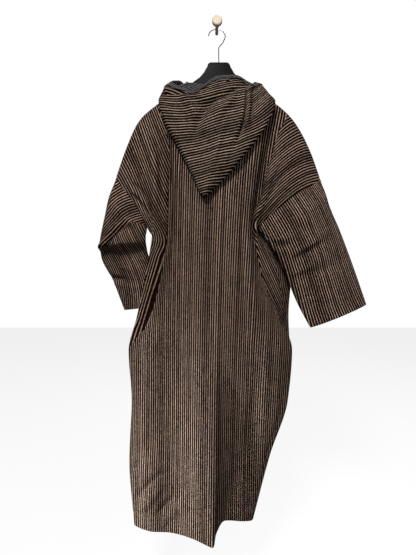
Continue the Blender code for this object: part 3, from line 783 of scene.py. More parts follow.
@dataclass
class BodyDrape:
    """How the back and the front panel hang. All tables in mm, a row for each level."""

    neck_half: float = 0.10
    neck_drop: float = 0.030
    neck_width: float = 0.055
    neck_reach: float = 0.05
    neck_spread: float = 0.0105
    seam_gap: float = 0.0003
    # Where each thread lies across.
    # Columns: seam, tuck, edge, crease, lip, neck, crest | valley, neck, lip, crease, edge, tuck, seam
    across: Table = (
        (-312, -281, -241, -189, -154, -92, -30, 30, 92, 152, 188, 237, 284, 317),
        (-311, -279, -239, -187, -153, -92, -30, 30, 92, 151, 186, 235, 282, 316),
        (-305, -272, -233, -184, -150, -93, -31, 31, 93, 149, 183, 229, 276, 309),
        (-266, -231, -190, -152, -133, -94, -33, 30, 88, 128, 150, 172, 200, 229),
        (-230, -206, -184, -144, -124, -93, -34, 27, 78, 104, 122, 136, 150, 160),
        (-208, -193, -187, -142, -122, -93, -34, 26, 72, 92, 104, 112, 118, 119),
        (-130, -165, -207, -158, -138, -98, -34, 24, 76, 104, 120, 130, 180, 104),
        (-128, -172, -237, -192, -168, -104, -34, 22, 84, 136, 164, 184, 200, 108),
        (-138, -200, -262, -228, -186, -108, -34, 20, 88, 152, 196, 222, 202, 108),
        (-142, -204, -252, -220, -180, -102, -32, 14, 80, 146, 188, 210, 172, 98),
        (-135, -200, -258, -214, -170, -90, -26, 6, 56, 112, 142, 156, 126, 78),
        (-120, -190, -241, -184, -148, -72, -16, -6, 22, 70, 99, 106, 86, 45),
    )
    # How far the back stands from the wall, the same columns
    back_out: Table = (
        (50, 47, 45, 45, 45, 46, 77, 77, 46, 45, 45, 45, 47, 50),
        (59, 58, 57, 57, 57, 58, 86, 86, 58, 57, 57, 57, 58, 59),
        (68, 71, 74, 78, 80, 84, 92, 92, 84, 80, 78, 74, 71, 68),
        (92, 108, 122, 88, 124, 136, 148, 148, 138, 126, 92, 122, 116, 96),
        (92, 106, 132, 86, 132, 146, 160, 160, 150, 134, 90, 126, 112, 94),
        (74, 94, 132, 92, 134, 150, 166, 165, 154, 136, 94, 118, 96, 78),
        (58, 74, 124, 104, 140, 162, 182, 176, 168, 146, 126, 122, 76, 62),
        (60, 80, 118, 122, 150, 170, 192, 182, 174, 158, 138, 114, 76, 60),
        (58, 78, 108, 144, 160, 171, 198, 182, 168, 154, 132, 98, 74, 58),
        (60, 82, 112, 148, 160, 170, 206, 170, 152, 140, 122, 94, 72, 58),
        (64, 88, 118, 154, 164, 174, 220, 166, 132, 128, 120, 98, 72, 56),
        (72, 100, 132, 166, 170, 198, 231, 172, 112, 116, 112, 98, 76, 58),
    )
    # How low each thread lies below the peg, the same on both halves.
    # Columns: seam, tuck, edge, crease, lip, neck, middle
    down: Table = (
        (479, 386, 301, 253, 231, 192, 224),
        (480, 387, 302, 254, 232, 193, 226),
        (492, 402, 319, 270, 248, 210, 246),
        (541, 484, 434, 402, 394, 390, 396),
        (598, 572, 545, 524, 516, 514, 518),
        (641, 634, 627, 620, 616, 616, 618),
        (762, 762, 762, 760, 760, 760, 760),
        (902, 902, 902, 900, 900, 900, 900),
        (1003, 1003, 1002, 1000, 1000, 1000, 1000),
        (1150, 1150, 1150, 1150, 1150, 1150, 1152),
        (1312, 1312, 1312, 1310, 1310, 1310, 1314),
        (1494, 1496, 1500, 1501, 1501, 1502, 1505),
    )
    # Where the front's threads lie across, without its side edges.
    # Columns: tuck, edge, crease, lip, neck, crest | valley, neck, lip, crease, edge, tuck
    front_across: Table = (
        (-281, -241, -189, -154, -92, -30, 30, 92, 152, 188, 237, 284),
        (-279, -239, -187, -153, -92, -30, 30, 92, 151, 186, 235, 282),
        (-272, -233, -184, -150, -93, -31, 31, 93, 149, 183, 229, 276),
        (-226, -188, -152, -128, -90, -32, 30, 86, 126, 150, 178, 204),
        (-198, -168, -136, -116, -84, -31, 28, 78, 106, 128, 148, 158),
        (-190, -162, -130, -110, -80, -30, 27, 74, 100, 118, 142, 136),
        (-144, -150, -132, -112, -82, -30, 24, 72, 118, 174, 234, 204),
        (-150, -174, -156, -130, -90, -32, 24, 82, 132, 178, 225, 202),
        (-176, -212, -188, -152, -94, -32, 20, 84, 138, 186, 228, 202),
        (-196, -242, -214, -166, -98, -32, 16, 78, 130, 172, 206, 172),
        (-190, -242, -208, -158, -86, -26, 6, 54, 102, 136, 153, 124),
        (-178, -222, -186, -136, -70, -16, -6, 22, 58, 86, 100, 82),
    )
    # How far the front hangs from the wall, the same on both halves.
    # Columns: tuck, edge, crease, lip, neck, middle
    front_out: Table = (
        (47, 45, 45, 45, 45, 23),
        (35, 34, 33, 33, 33, 20),
        (28, 26, 24, 22, 21, 17),
        (42, 30, 20, 17, 15, 12),
        (48, 34, 20, 16, 13, 11),
        (52, 34, 19, 15, 12, 10),
        (44, 28, 14, 11, 10, 9),
        (43, 27, 13, 10, 9, 9),
        (42, 26, 12, 9, 9, 11),
        (42, 26, 12, 9, 9, 13),
        (43, 28, 13, 10, 10, 15),
        (44, 32, 16, 12, 12, 17),
    )
    # How far the front's side edges lie behind the back's, at each level
    edge_depths: tuple[float, ...] = (0, 24, 38, 46, 40, 3, 3, 3, 3, 3, 3, 3)
    back_folds: tuple[Crease, ...] = creases_of(
        (-240, 880, -170, 800, 22, -7), (-210, 920, -130, 830, 26, 7), (-170, 520, -80, 660, 40, 6),
        (150, 360, 120, 600, 26, 7), (190, 50, 110, 240, 22, 8), (-180, 50, -120, 260, 22, 7),
        (330, 40, 300, 220, 22, -7), (-340, 40, -320, 200, 22, -7), (60, 300, 40, 620, 24, 5),
        taper=0.0,
    )
    front_folds: tuple[Crease, ...] = creases_of(
        (-150, 350, -140, 1000, 30, 8), (140, 300, 160, 1000, 32, 9), (-30, 450, -20, 1000, 28, 6),
        taper=0.0,
    )

    def spread(self, across: Sequence[float], along: Sequence[float]) -> np.ndarray:
        """How far each panel bows away from the hanger's flare, which comes out between them at the neck.

        Args:
            across: threads.
            along: shares of the length.

        Returns:
            Distances in metres, by level and thread.
        """
        inside = np.clip((self.neck_half - np.abs(across)) / (self.neck_half - THREADS[7]), 0.0, 1.0)
        near = fading(along, self.neck_reach)
        return self.neck_spread * near[:, None] * (np.sin(math.pi * inside) ** 0.6)[None, :]

    def back(self, across: Sequence[float], along: Sequence[float]) -> np.ndarray:
        """Points of the back panel at the given threads and shares of the length.

        Args:
            across: threads.
            along: shares of the length.

        Returns:
            Points in metres, by level and thread.
        """
        x = chart(self.across, across, along)
        y = -chart(self.back_out, across, along)
        z = -chart(mirrored(self.down), across, along)
        y -= self.seam_gap + self.spread(across, along) + crease_heights(across, along, self.back_folds)
        return np.stack([x, y, z], axis=2)

    def front(self, across: Sequence[float], along: Sequence[float]) -> np.ndarray:
        """Points of the front panel at the given threads and shares of the length.

        Args:
            across: threads.
            along: shares of the length.

        Returns:
            Points in metres, by level and thread.
        """
        depths = np.array(self.edge_depths, float)[:, None]
        seams = np.array(self.across)[:, [0, -1]], np.array(self.back_out)[:, [0, -1]] - depths
        x_rows, y_rows = (
            np.hstack([edges[:, :1], inner, edges[:, 1:]])
            for edges, inner in zip(seams, (self.front_across, mirrored(self.front_out)))
        )
        x = chart(x_rows, across, along)
        y = -chart(y_rows, across, along)
        z = -chart(mirrored(self.down), across, along)
        ends = (THREADS[0], THREADS[-1])
        error = through(LEVELS, depths * MM, along) - chart(self.back_out, ends, along) + chart(y_rows, ends, along)
        for side, (seam, tuck) in enumerate((THREADS[:2], THREADS[:-3:-1])):
            share = np.clip((np.asarray(across) - tuck) / (seam - tuck), 0.0, 1.0)
            y += error[:, side:side + 1] * share[None, :]
        z -= self.neck_drop * fading(across, self.neck_width)[None, :] * fading(along, self.neck_reach)[:, None]
        y += self.seam_gap + self.spread(across, along) - crease_heights(across, along, self.front_folds)
        return np.stack([x, y, z], axis=2)


@dataclass
class Panel:
    """What the two panels of the body share: their grid, their finer creases and the size of their cut."""

    drape: BodyDrape
    wool: Wool
    columns: int
    rows: int
    flat: Pair
    flat_area: float
    creases: tuple[Crease, ...]
    crease_scale: Pair = (1.0, 1.30)
    crease_fade: float = 0.05
    inner_edge: float = 0.470
    edge_threads: tuple[float, ...] = (0.4785, 0.4765, 0.4735)
    top_shares: tuple[float, ...] = (0.0, 0.005, 0.010, 0.020)
    hem_shares: tuple[float, ...] = (0.9975, 1.0)

    def lay_out(self, hang: Callable[..., np.ndarray], outward: float) -> Grid:
        """The panel with its finer creases, as the drape hangs it.

        Args:
            hang: the drape's method for this panel.
            outward: 1 where the grid's normals point out of the garment, otherwise -1.

        Returns:
            The grid, its columns closer together at the side edges and its rows at the shoulder and the hem.
        """
        sides = np.array((THREADS[-1],) + self.edge_threads)
        across = np.concatenate([-sides, np.linspace(-self.inner_edge, self.inner_edge, self.columns), sides[::-1]])
        share = np.linspace(0.0, 1.0, self.rows - len(self.top_shares + self.hem_shares))
        # From below the shoulder to above the hem, a little closer together at the top
        middle = 0.032 + 0.962 * share * (0.88 + 0.12 * share)
        along = np.concatenate([self.top_shares, middle, self.hem_shares])
        grid = Grid(hang(across, along), across, along)
        height = crease_heights(across, along, self.creases, self.crease_scale)
        grid.lift(outward * height * np.clip(along / self.crease_fade, 0.0, 1.0)[:, None])
        return grid

    def finished(self, mesh: Mesh, node: str) -> Object:
        """The panel with its wall, in the place of its solid, from its mesh and the name of its solid.

        Args:
            mesh: the panel's mesh, without its wall.
            node: name of the solid it stands for.

        Returns:
            The panel.
        """
        panel = self.wool.walled(mesh)
        hang_sheet(panel, node, self.flat, self.flat_area)
        return panel


@dataclass(frozen=True)
class Wing:
    """The stripes at one side of the back: over the shoulder blade, and on the strip below the armpit.

    Ends are the shares of the length and the threads where the wing's stripes end and the middle's start. At
    strip_start, a share of the length, they go over into the strip's, and meet on the meeting thread.
    """

    side: Side
    ends: tuple[Pair, ...]
    blade: PatternField
    strip: PatternField
    strip_start: float
    meeting_thread: float = 0.250
    passage: float = 0.05

    def distances(self, grid: Grid) -> np.ndarray:
        """Distance across the wing's stripes, in metres, for the whole grid of the panel.

        Args:
            grid: the panel's grid.

        Returns:
            Distances in metres, by level and thread.
        """
        start, sign = self.strip_start, self.side.value
        upper, lower = (part.at(grid.points, WoolFinish.period) for part in (self.blade, self.strip))
        thread = int(np.argmin(np.abs(grid.across - sign * self.meeting_thread)))
        meet = int(np.argmin(np.abs(grid.along - start))), thread
        below = soft_step(grid.along, start - self.passage, start + self.passage)[:, None]
        seen = upper * (1.0 - below) + (lower + upper[meet] - lower[meet]) * below
        return self.turned_under(seen, grid)

    def turned_under(self, seen: np.ndarray, grid: Grid) -> np.ndarray:
        """Distances that run on along the cloth where it is turned under, past its outermost thread.

        Args:
            seen: distances for the whole grid, right where the cloth is seen.
            grid: the panel's grid.

        Returns:
            Distances in metres, for the whole grid.
        """
        edge = np.argmax(self.side.value * grid.points[..., 0], axis=1)[:, None]
        across = grid.run(1)
        hidden = np.take_along_axis(seen, edge, 1) + across - np.take_along_axis(across, edge, 1)
        beyond = self.side.value * (np.arange(seen.shape[1])[None, :] - edge) > 0
        return np.where(beyond, hidden, seen)


@dataclass
class BackPanel(Panel):
    """The back panel, which faces the camera."""

    columns: int = 172
    rows: int = 262
    flat: Pair = (0.98, 1.30)
    flat_area: float = 0.93
    creases: tuple[Crease, ...] = creases_of(
        (-452, 150, -398, 235, 7, 9, 0.8), (-436, 130, -380, 225, 8, -9, 0.8), (-464, 160, -420, 250, 6, -6, 0.8),
        (-400, 225, -340, 420, 8, 8), (-375, 240, -315, 410, 9, -7), (-400, 30, -350, 180, 24, -9),
        (-290, 30, -272, 220, 13, 8), (-252, 50, -240, 260, 14, -6), (-204, 70, -216, 330, 8, -18),
        (-218, 290, -230, 610, 8, -9), (-472.2, 40, -472.2, 250, 3, -2.8), (240, 120, 229, 300, 8, -14),
        (205, 300, 280, 500, 7, -8), (-258, 948, -172, 893, 7, -12), (-246, 968, -160, 912, 9, 9),
        (-190, 968, -128, 930, 7, -11), (-176, 982, -112, 945, 8, 8), (-262, 900, -222, 872, 7, -7),
        (-216, 640, -212, 970, 28, 10), (-138, 600, -134, 990, 40, -15), (-4, 640, -4, 960, 24, 12),
        (130, 640, 125, 990, 30, -10), (-85, 560, -70, 980, 12, -2.5), (12, 240, 0, 640, 18, 10),
        (-75, 260, -80, 560, 18, -10), (90, 300, 95, 720, 18, -11.5), (150, 560, 150, 860, 18, 6),
        (215, 700, 230, 980, 16, -5.5), (340, 50, 280, 240, 14, 6), (400, 60, 330, 260, 12, -5.5),
        (445, 100, 400, 250, 10, 4.5), (472.2, 30, 472.2, 270, 3, 2),
    )
    # How far the side edges turn in, where they are sewn to the sleeves, and within what width
    roll_depth: float = 0.0028
    roll_width: float = 0.0042
    wings: tuple[Wing, Wing] = (
        Wing(
            Side.LEFT,
            (
                (0.0, 0.215), (0.08, 0.200), (0.15, 0.207), (0.27, 0.225), (0.55, 0.222), (0.60, 0.238),
                (0.64, 0.285), (0.68, 0.50), (1.0, 0.60),
            ),
            PatternField(
                (-0.2169, -0.4817), (0.0634, 0.1785), (74.1, 84.7, 1.3, -9.4, -12.9, -4.2, 2.8, 7.9, 5.0), 0.0084,
            ),
            PatternField((-0.1921, -0.7995), (0.0307, 0.1324), (20.9, -25.7, -11.9, 25.8, -13.9), 0.0070),
            0.335,
        ),
        Wing(
            Side.RIGHT,
            (
                (0.0, 0.250), (0.143, 0.245), (0.19, 0.228), (0.25, 0.230), (0.30, 0.205), (0.36, 0.225),
                (0.42, 0.250), (0.55, 0.255), (0.60, 0.270), (0.66, 0.330), (0.72, 0.50), (1.0, 0.60),
            ),
            PatternField(
                (0.1980, -0.4802), (0.0906, 0.1469), (74.7, -143.0, -19.6, -0.9, -1.1, -1.0, -0.4, -5.4, 11.9), 0.0084,
            ),
            PatternField((0.1482, -0.7639), (0.0408, 0.1416), (38.0, 62.1, -0.8, -2.1, -4.6), 0.0070),
            0.300,
        ),
    )
    middle_field: PatternField = PatternField(
        (-0.0230, -0.8480), (0.2120, 0.6330), (221.4, -15.9, -4.6, -24.3, -9.6, -5.7, -5.6, -15.1, -3.7), 0.0064,
    )

    def pattern(self, grid: Grid) -> np.ndarray:
        """Pattern coordinates of each face: across the middle's stripes, or across those of a wing.

        Args:
            grid: the panel's grid.

        Returns:
            Corner coordinates of each face.
        """
        middle = self.middle_field.at(grid.points, WoolFinish.period)
        for wing in self.wings:
            middle = wing.turned_under(middle, grid)
        along = grid.run(0)
        result = corners(middle, along)
        thread, level = grid.face_middles()
        for wing in self.wings:
            outside = wing.side.value * thread > np.interp(level, *zip(*wing.ends))
            result = np.where(outside, corners(wing.distances(grid), along), result)
        return result

    def build(self) -> Object:
        """Make the panel and put it in the place of its solid.

        Returns:
            The panel.
        """
        grid = self.lay_out(self.drape.back, 1.0)
        grid.lift(-self.roll_depth * fading(THREADS[-1] - np.abs(grid.across), self.roll_width)[None, :])
        return self.finished(cloth_mesh("back_cloth", grid.points, self.pattern(grid), Face.AS_MADE), "back_panel")


@dataclass
class FrontPanel(Panel):
    """The front panel, towards the wall, with the slit that the head passes through."""

    columns: int = 120
    rows: int = 170
    flat: Pair = (1.00, 1.30)
    flat_area: float = 0.80
    creases: tuple[Crease, ...] = creases_of(
        (-350, 60, -280, 240, 14, -3), (360, 60, 280, 250, 14, -3), (-200, 80, -120, 260, 18, 3),
        (220, 90, 130, 280, 18, 3), (-80, 480, -100, 980, 18, -3), (60, 420, 80, 980, 20, -3),
        (10, 560, 0, 980, 14, 2.5), (-250, 640, -240, 980, 16, 3.5), (260, 600, 250, 980, 16, 3.5),
        (-180, 880, -110, 830, 10, -2.5),
    )
    slit_length: float = 0.24
    slit_gap: float = 0.0016
    slit_fade: float = 0.004
    # How near the middle its top is sought, and how near the middle column an edge of the slit lies
    middle_reach: float = 0.01
    column_reach: float = 0.0015

    def build(self) -> Object:
        """Make the panel and put it in the place of its solid.

        Returns:
            The panel.
        """
        grid = self.lay_out(self.drape.front, -1.0)
        across = grid.run(1)
        middle = through(grid.across, across.T, [0.0])[0][:, None]
        pattern = corners(across - middle, grid.run(0))
        mesh = cloth_mesh("front_cloth", grid.points, pattern, Face.TURNED)
        self.open_slit(mesh)
        return self.finished(mesh, "front_panel")

    def open_slit(self, mesh: Mesh) -> None:
        """Part the panel down its middle, from the neck to the slit's end.

        Args:
            mesh: the panel's mesh, which is changed.
        """
        bm = bmesh.new()
        bm.from_mesh(mesh)
        end = max(vert.co.z for vert in bm.verts if abs(vert.co.x) < self.middle_reach) - self.slit_length
        middle = min(abs(vert.co.x) for vert in bm.verts if vert.co.z > end)
        cut = []
        for edge in bm.edges:
            first, second = (vert.co for vert in edge.verts)
            near = all(abs(abs(place.x) - middle) < self.column_reach and place.z > end for place in (first, second))
            if near and first.x * second.x >= 0.0 and first.x <= 0.0 and abs(first.z - second.z) > MM:
                cut.append(edge)
        for edge in bmesh.ops.split_edges(bm, edges=cut)["edges"]:
            for vert in edge.verts:
                if vert.co.z > end + self.slit_fade:
                    side = sum(face.calc_center_median().x for face in vert.link_faces) / len(vert.link_faces)
                    vert.co.x += math.copysign(self.slit_gap / 4.0, side - vert.co.x)
        bm.to_mesh(mesh)
        bm.free()


@dataclass
class Sleeve:
    """A sleeve: a tube sewn to the armhole.

    Columns of its sections, in mm: share of the length, outer edge x and z, inner edge x and z, distance from the
    wall of the outer and inner edge, bulge to the back and to the front. The lip is where the upper stripes hang
    over the lower ones, a place round the sleeve and a share of the length.
    """

    drape: BodyDrape
    wool: Wool
    side: Side
    face: Face
    sections: Table
    folds: tuple[Crease, ...]
    creases: tuple[Crease, ...]
    lower: PatternField
    upper: PatternField
    lip: tuple[Pair, ...] = (
        (0.0, 0.500), (0.138, 0.463), (0.229, 0.356), (0.300, 0.194), (0.400, 0.060), (0.500, 0.0),
    )
    sides: int = 150
    rows: int = 108
    armhole_end: float = 0.286
    armhole_gap: float = 0.0026
    run_out: float = 0.0042
    tuck_in: float = 0.0060
    tuck_depth: float = 0.0016
    crease_fade: float = 0.06

    def pattern(self, grid: Grid) -> np.ndarray:
        """Pattern coordinates of each face, the stripes running on round the outer edge to the hidden side.

        Args:
            grid: the sleeve's grid.

        Returns:
            Corner coordinates of each face.
        """
        round_way, along_way = grid.run(1), grid.run(0)
        outer = int(np.argmin(np.abs(grid.across)))
        lower, upper = (part.at(grid.points, WoolFinish.period) for part in (self.lower, self.upper))
        arc = np.abs(round_way - round_way[:, outer:outer + 1])
        hidden = lower[:, outer:outer + 1] + self.side.value * arc
        low, high, back = (corners(distance, along_way) for distance in (lower, upper, hidden))
        turn, level = grid.face_middles()
        return np.where(turn < 0.0, back, np.where(level < np.interp(turn, *zip(*self.lip)), high, low))

    def armhole(self, angle: np.ndarray) -> np.ndarray:
        """The ring that is sewn to the panels, at angles round the sleeve from its top.

        Args:
            angle: angles round the sleeve from its top, in radians.

        Returns:
            Points in metres.
        """
        edge = [self.side.value * THREADS[-1]]
        level = self.armhole_end * (1.0 - np.cos(angle)) / 2.0
        order = np.argsort(level, kind="stable")
        back, front = np.empty((2, len(angle), 3))
        back[order] = self.drape.back(edge, level[order])[:, 0]
        front[order] = self.drape.front(edge, level[order])[:, 0]
        share = (1.0 - np.sign(np.sin(angle))) / 2.0
        share[np.abs(np.sin(angle)) < 1e-6] = 0.5
        return back * (1.0 - share)[:, None] + front * share[:, None]

    def away(self, ring: np.ndarray) -> np.ndarray:
        """Unit direction of the sleeve from its armhole.

        Args:
            ring: points of the armhole.

        Returns:
            The direction, level in depth.
        """
        _, outer_x, outer_z, inner_x, inner_z = self.sections[0][:5]
        middle = np.array([outer_x + inner_x, 0.0, outer_z + inner_z]) / 2.0 * MM
        run = middle - ring.mean(axis=0)
        run[1] = 0.0
        return run / np.linalg.norm(run)

    def points(self, turns: np.ndarray, along: np.ndarray) -> np.ndarray:
        """Points of the sleeve, without its tucked-in edge.

        Args:
            turns: places round the sleeve, from 0 at its top to 1.
            along: shares of its length.

        Returns:
            The grid of points.
        """
        angle = turns * 2.0 * math.pi
        swing, lean = np.cos(angle), np.sin(angle)
        ring = self.armhole(angle)
        bottom = np.clip(-swing, 0.0, 1.0) ** 6
        ring = ring + self.away(ring) * (self.armhole_gap + bottom[:, None] * self.run_out)
        rings, places = [ring], [0.0]
        for place, ox, oz, ix, iz, out_y, in_y, to_back, to_front in self.sections:
            x, z, y = (
                (outer + inner) / 2.0 + swing * (outer - inner) / 2.0
                for outer, inner in ((ox, ix), (oz, iz), (out_y, in_y))
            )
            bulge = np.where(lean > 0.0, to_back, to_front) * lean
            rings.append(np.stack([x, -y - bulge, z], axis=1) * MM)
            places.append(place)
        return through(places, np.array(rings), along)

    def build(self) -> Object:
        """Make the sleeve and put it in the place of its solid.

        Returns:
            The sleeve.
        """
        turns = np.linspace(-0.5, 0.5, self.sides + 1)
        along = np.linspace(0.0, 1.0, self.rows)
        grid = Grid(self.points(turns, along), turns, along)
        size = (float(grid.run(1)[self.rows // 2, -1]), float(grid.run(0)[-1].mean()))
        height = crease_heights(turns % 1.0, along, self.folds)
        fade = np.clip(along / self.crease_fade, 0.0, 1.0)[:, None]
        height += crease_heights(turns % 1.0, along, self.creases, size) * fade
        height[:, -1] = height[:, 0]
        grid.lift(-self.side.value * height)
        points = grid.points
        points[:, -1] = points[:, 0]
        inward = points[0].mean(axis=0) - points[0]
        inner = points[0] - self.away(points[0]) * self.tuck_in
        inner = inner + inward * (self.tuck_depth / np.linalg.norm(inward, axis=1))[:, None]
        grid = Grid(np.concatenate([inner[None], points]), turns, np.insert(along, 0, 0.0))
        name = self.side.name.lower()
        mesh = cloth_mesh(f"sleeve_cloth_{name}", grid.points, self.pattern(grid), self.face, closed=True)
        sleeve = self.wool.walled(mesh)
        girths, lengths = grid.run(1)[:, -1], grid.run(0)[-1]
        flat = (float(girths.max()), float(lengths.max()))
        hang_sheet(sleeve, f"sleeve_{name}", flat, float(girths.mean() * lengths.mean()))
        return sleeve


@dataclass
class RightSleeve(Sleeve):
    """The right sleeve, which hangs straight."""

    side: Side = Side.RIGHT
    face: Face = Face.TURNED
    sections: Table = (
        (0.24, 332, -552, 170, -690, 84, 90, 34, 30),
        (0.50, 371, -648, 206, -775, 82, 90, 36, 28),
        (0.76, 411, -752, 240, -857, 79, 87, 32, 26),
        (1.00, 451, -865, 281, -934, 76, 84, 30, 25),
    )
    folds: tuple[Crease, ...] = creases_of(
        (100, 420, 420, 340, 45, 6), (140, 660, 400, 580, 45, -6),
        taper=0.0,
    )
    creases: tuple[Crease, ...] = creases_of(
        (360, 395, 180, 440, 8, 7), (350, 440, 190, 480, 10, -7), (455, 250, 320, 340, 9, -6.5),
        (440, 190, 330, 270, 8, 5.5), (300, 180, 240, 350, 9, -6.5), (240, 140, 200, 340, 9, 5.5),
        (160, 120, 150, 360, 10, -5), (420, 520, 280, 570, 9, 5.5), (300, 620, 150, 700, 10, -4.5),
        (380, 780, 220, 860, 10, 3.5), (600, 300, 800, 360, 10, 3.5), (620, 560, 840, 620, 10, -3),
        (500, 140, 500, 340, 10, 4.5),
    )
    lower: PatternField = PatternField(
        (0.2683, -0.7089), (0.1406, 0.1978),
        (125.4, 58.6, 12.0, 0.4, 14.1, 8.1, 21.0, -1.2, 4.8, -8.7, -4.7, -2.6, 2.8, -3.0), 0.0066,
    )
    upper: PatternField = lower


@dataclass
class LeftSleeve(Sleeve):
    """The left sleeve, bent at the elbow, its upper arm hanging over the lower one."""

    side: Side = Side.LEFT
    face: Face = Face.AS_MADE
    sections: Table = (
        (0.22, -329, -566, -216, -662, 92, 92, 44, 30),
        (0.46, -352, -690, -216, -676, 92, 90, 48, 34),
        (0.55, -353, -716, -213, -706, 74, 76, 20, 38),
        (0.78, -318, -800, -168, -806, 50, 50, 34, 34),
        (1.00, -286, -884, -162, -868, 49, 48, 34, 33),
    )
    folds: tuple[Crease, ...] = creases_of(
        (80, 300, 400, 220, 45, -6), (60, 800, 340, 740, 45, -6),
        taper=0.0,
    )
    creases: tuple[Crease, ...] = creases_of(
        (330, 80, 200, 280, 9, -4.5), (20, 485, 145, 435, 9, 7), (135, 440, 305, 165, 9, 8),
        (20, 545, 150, 495, 12, -13), (140, 505, 320, 225, 13, -15), (150, 100, 100, 380, 10, -3.5),
        (0, 740, 190, 756, 8, -9), (30, 790, 200, 800, 9, 6), (160, 640, 320, 680, 10, 5),
        (200, 860, 340, 820, 10, -4.5), (600, 400, 800, 450, 10, 3.5),
    )
    lower: PatternField = PatternField((-0.2641, -0.8001), (0.0443, 0.0632), (44.5, 15.8, 0.7, 0.0, 7.1), 0.0066)
    upper: PatternField = PatternField(
        (-0.2662, -0.6038), (0.0490, 0.0822), (35.7, -67.6, -4.8, -13.6, -0.8, -2.5, -6.2, -4.2, -0.1), 0.0084,
    )


@dataclass
class Hood:
    """The hood: a pouch down the back, turned out at its face edge, with a strip round the front of the neck.

    Each section is a share of the depth and a ring: out over the face of the pouch from the left edge to the right
    edge, and back behind it along the neck. Each entry of a ring is (x, distance from the wall, z) in mm.
    """

    drape: BodyDrape
    wool: Wool
    sides: int = 250
    rows: int = 140
    row_power: float = 1.2
    side_turn: float = 0.80
    lift: float = 0.0029
    strip_columns: int = 40
    strip_rows: int = 7
    strip_end: float = 0.004
    strip_height: float = 0.018
    strip_flare: float = 0.003
    strip_phase: float = 0.20
    trim_area: float = 0.012
    # The turned-out band: from where to where it goes round, its width, how unevenly it is turned, and its form from
    # the inside over the edge and down, as shares of the width and heights over the pouch
    band_turns: Pair = (-0.70, 0.66)
    band_width: float = 0.027
    band_wall: float = 0.0016
    band_phase: float = 0.003
    band_waves: Table = ((0.16, 23.0, 0.0), (0.10, 61.0, 1.0))
    band_drops: tuple[float, ...] = (-0.055, -0.045, 0.02, 0.11, 0.22, 0.36, 0.55, 0.75, 0.94, 1.0)
    band_lifts: tuple[float, ...] = (
        -0.0010, 0.0012, 0.0024, 0.0030, 0.0032, 0.0031, 0.0030, 0.0030, 0.0029, 0.0026,
    )
    # Columns: seam, left nape, left inner, left edge, left side, left face, notch, crown, right face,
    # right fold, right crease, right side, right edge, right inner, right nape
    round_places: tuple[float, ...] = (
        -1.0, -0.90, -0.80, -0.76, -0.58, -0.40, -0.20, 0.0, 0.22, 0.38, 0.50, 0.62, 0.76, 0.80, 0.90,
    )
    sections: tuple[tuple, ...] = (
        (0.00, (0, 77, -222), (-50, 70, -206), (-98, 45, -192), (-102, 46, -184), (-115, 60, -180), (-136, 92, -199),
         (-68, 140, -246), (0, 146, -207), (52, 140, -203), (90, 122, -214), (112, 88, -206), (114, 62, -187),
         (102, 46, -184), (98, 45, -192), (50, 70, -206)),
        (0.03, (0, 88, -213), (-56, 84, -199), (-98, 56, -187), (-112, 52, -188), (-124, 68, -188), (-145, 98, -208),
         (-69, 148, -251), (0, 153, -214), (53, 149, -210), (92, 130, -221), (114, 94, -211), (123, 72, -194),
         (112, 52, -189), (98, 56, -187), (56, 84, -199)),
        (0.07, (0, 108, -226), (-62, 100, -212), (-108, 74, -196), (-130, 63, -204), (-142, 82, -202),
         (-154, 108, -222), (-70, 156, -256), (0, 162, -228), (54, 158, -222), (93, 140, -228), (110, 108, -222),
         (137, 86, -207), (132, 61, -210), (108, 72, -197), (62, 100, -212)),
        (0.11, (0, 121, -246), (-72, 111, -232), (-130, 88, -216), (-152, 82, -226), (-160, 102, -224),
         (-154, 124, -238), (-70, 162, -261), (0, 169, -244), (54, 165, -238), (94, 150, -236), (106, 124, -236),
         (140, 106, -225), (155, 82, -231), (127, 84, -217), (72, 111, -232)),
        (0.16, (0, 136, -278), (-78, 128, -262), (-150, 98, -246), (-169, 104, -258), (-172, 120, -264),
         (-142, 148, -264), (-70, 168, -268), (0, 177, -264), (54, 172, -252), (92, 162, -248), (99, 140, -250),
         (144, 124, -255), (171, 103, -258), (150, 99, -246), (78, 128, -262)),
        (0.35, (0, 149, -335), (-72, 143, -330), (-140, 130, -324), (-159, 134, -322), (-152, 154, -324),
         (-104, 172, -326), (-54, 178, -328), (0, 190, -330), (48, 187, -320), (88, 176, -310), (94, 162, -310),
         (124, 150, -317), (151, 135, -322), (132, 130, -322), (72, 143, -330)),
        (0.60, (-8, 164, -418), (-55, 157, -414), (-100, 149, -410), (-117, 153, -408), (-111, 170, -408),
         (-76, 183, -411), (-44, 187, -414), (-10, 198, -420), (26, 197, -412), (66, 188, -403), (83, 180, -402),
         (95, 171, -402), (102, 160, -402), (86, 151, -404), (44, 159, -412)),
        (0.80, (-22, 172, -492), (-44, 168, -490), (-64, 164, -487), (-78, 168, -484), (-74, 180, -484),
         (-58, 189, -487), (-42, 193, -491), (-22, 202, -496), (-2, 200, -491), (22, 192, -481), (34, 187, -478),
         (42, 182, -477), (45, 172, -476), (30, 166, -480), (4, 168, -486)),
        (1.00, (-38, 171, -554), (-42, 171, -553), (-45, 172, -552), (-50, 177, -549), (-49, 184, -550),
         (-44, 189, -553), (-41, 192, -555), (-37, 193, -556), (-33, 192, -555), (-29, 189, -551), (-25, 186, -549),
         (-23, 182, -548), (-23, 177, -549), (-28, 172, -551), (-33, 171, -552)),
    )
    period: float = 0.0080
    face_field: PatternField = PatternField(
        (-0.0415, -0.4014), (0.1144, 0.1490), (27.3, -155.5, 14.8, 2.7, 0.7, -15.6, 3.7, -1.3, -3.3), 0.0080,
    )
    flank_field: PatternField = PatternField(
        (0.0663, -0.4108), (0.0874, 0.1357), (49.6, -147.5, -11.7, 53.2, -13.8), 0.0080,
    )
    flank_turn: float = 0.33
    # The raised bump at the left of the mouth, where the stripes fall to the right
    bump_turn: float = -0.22
    bump_end: float = 0.13
    bump_fall: float = math.radians(30.0)
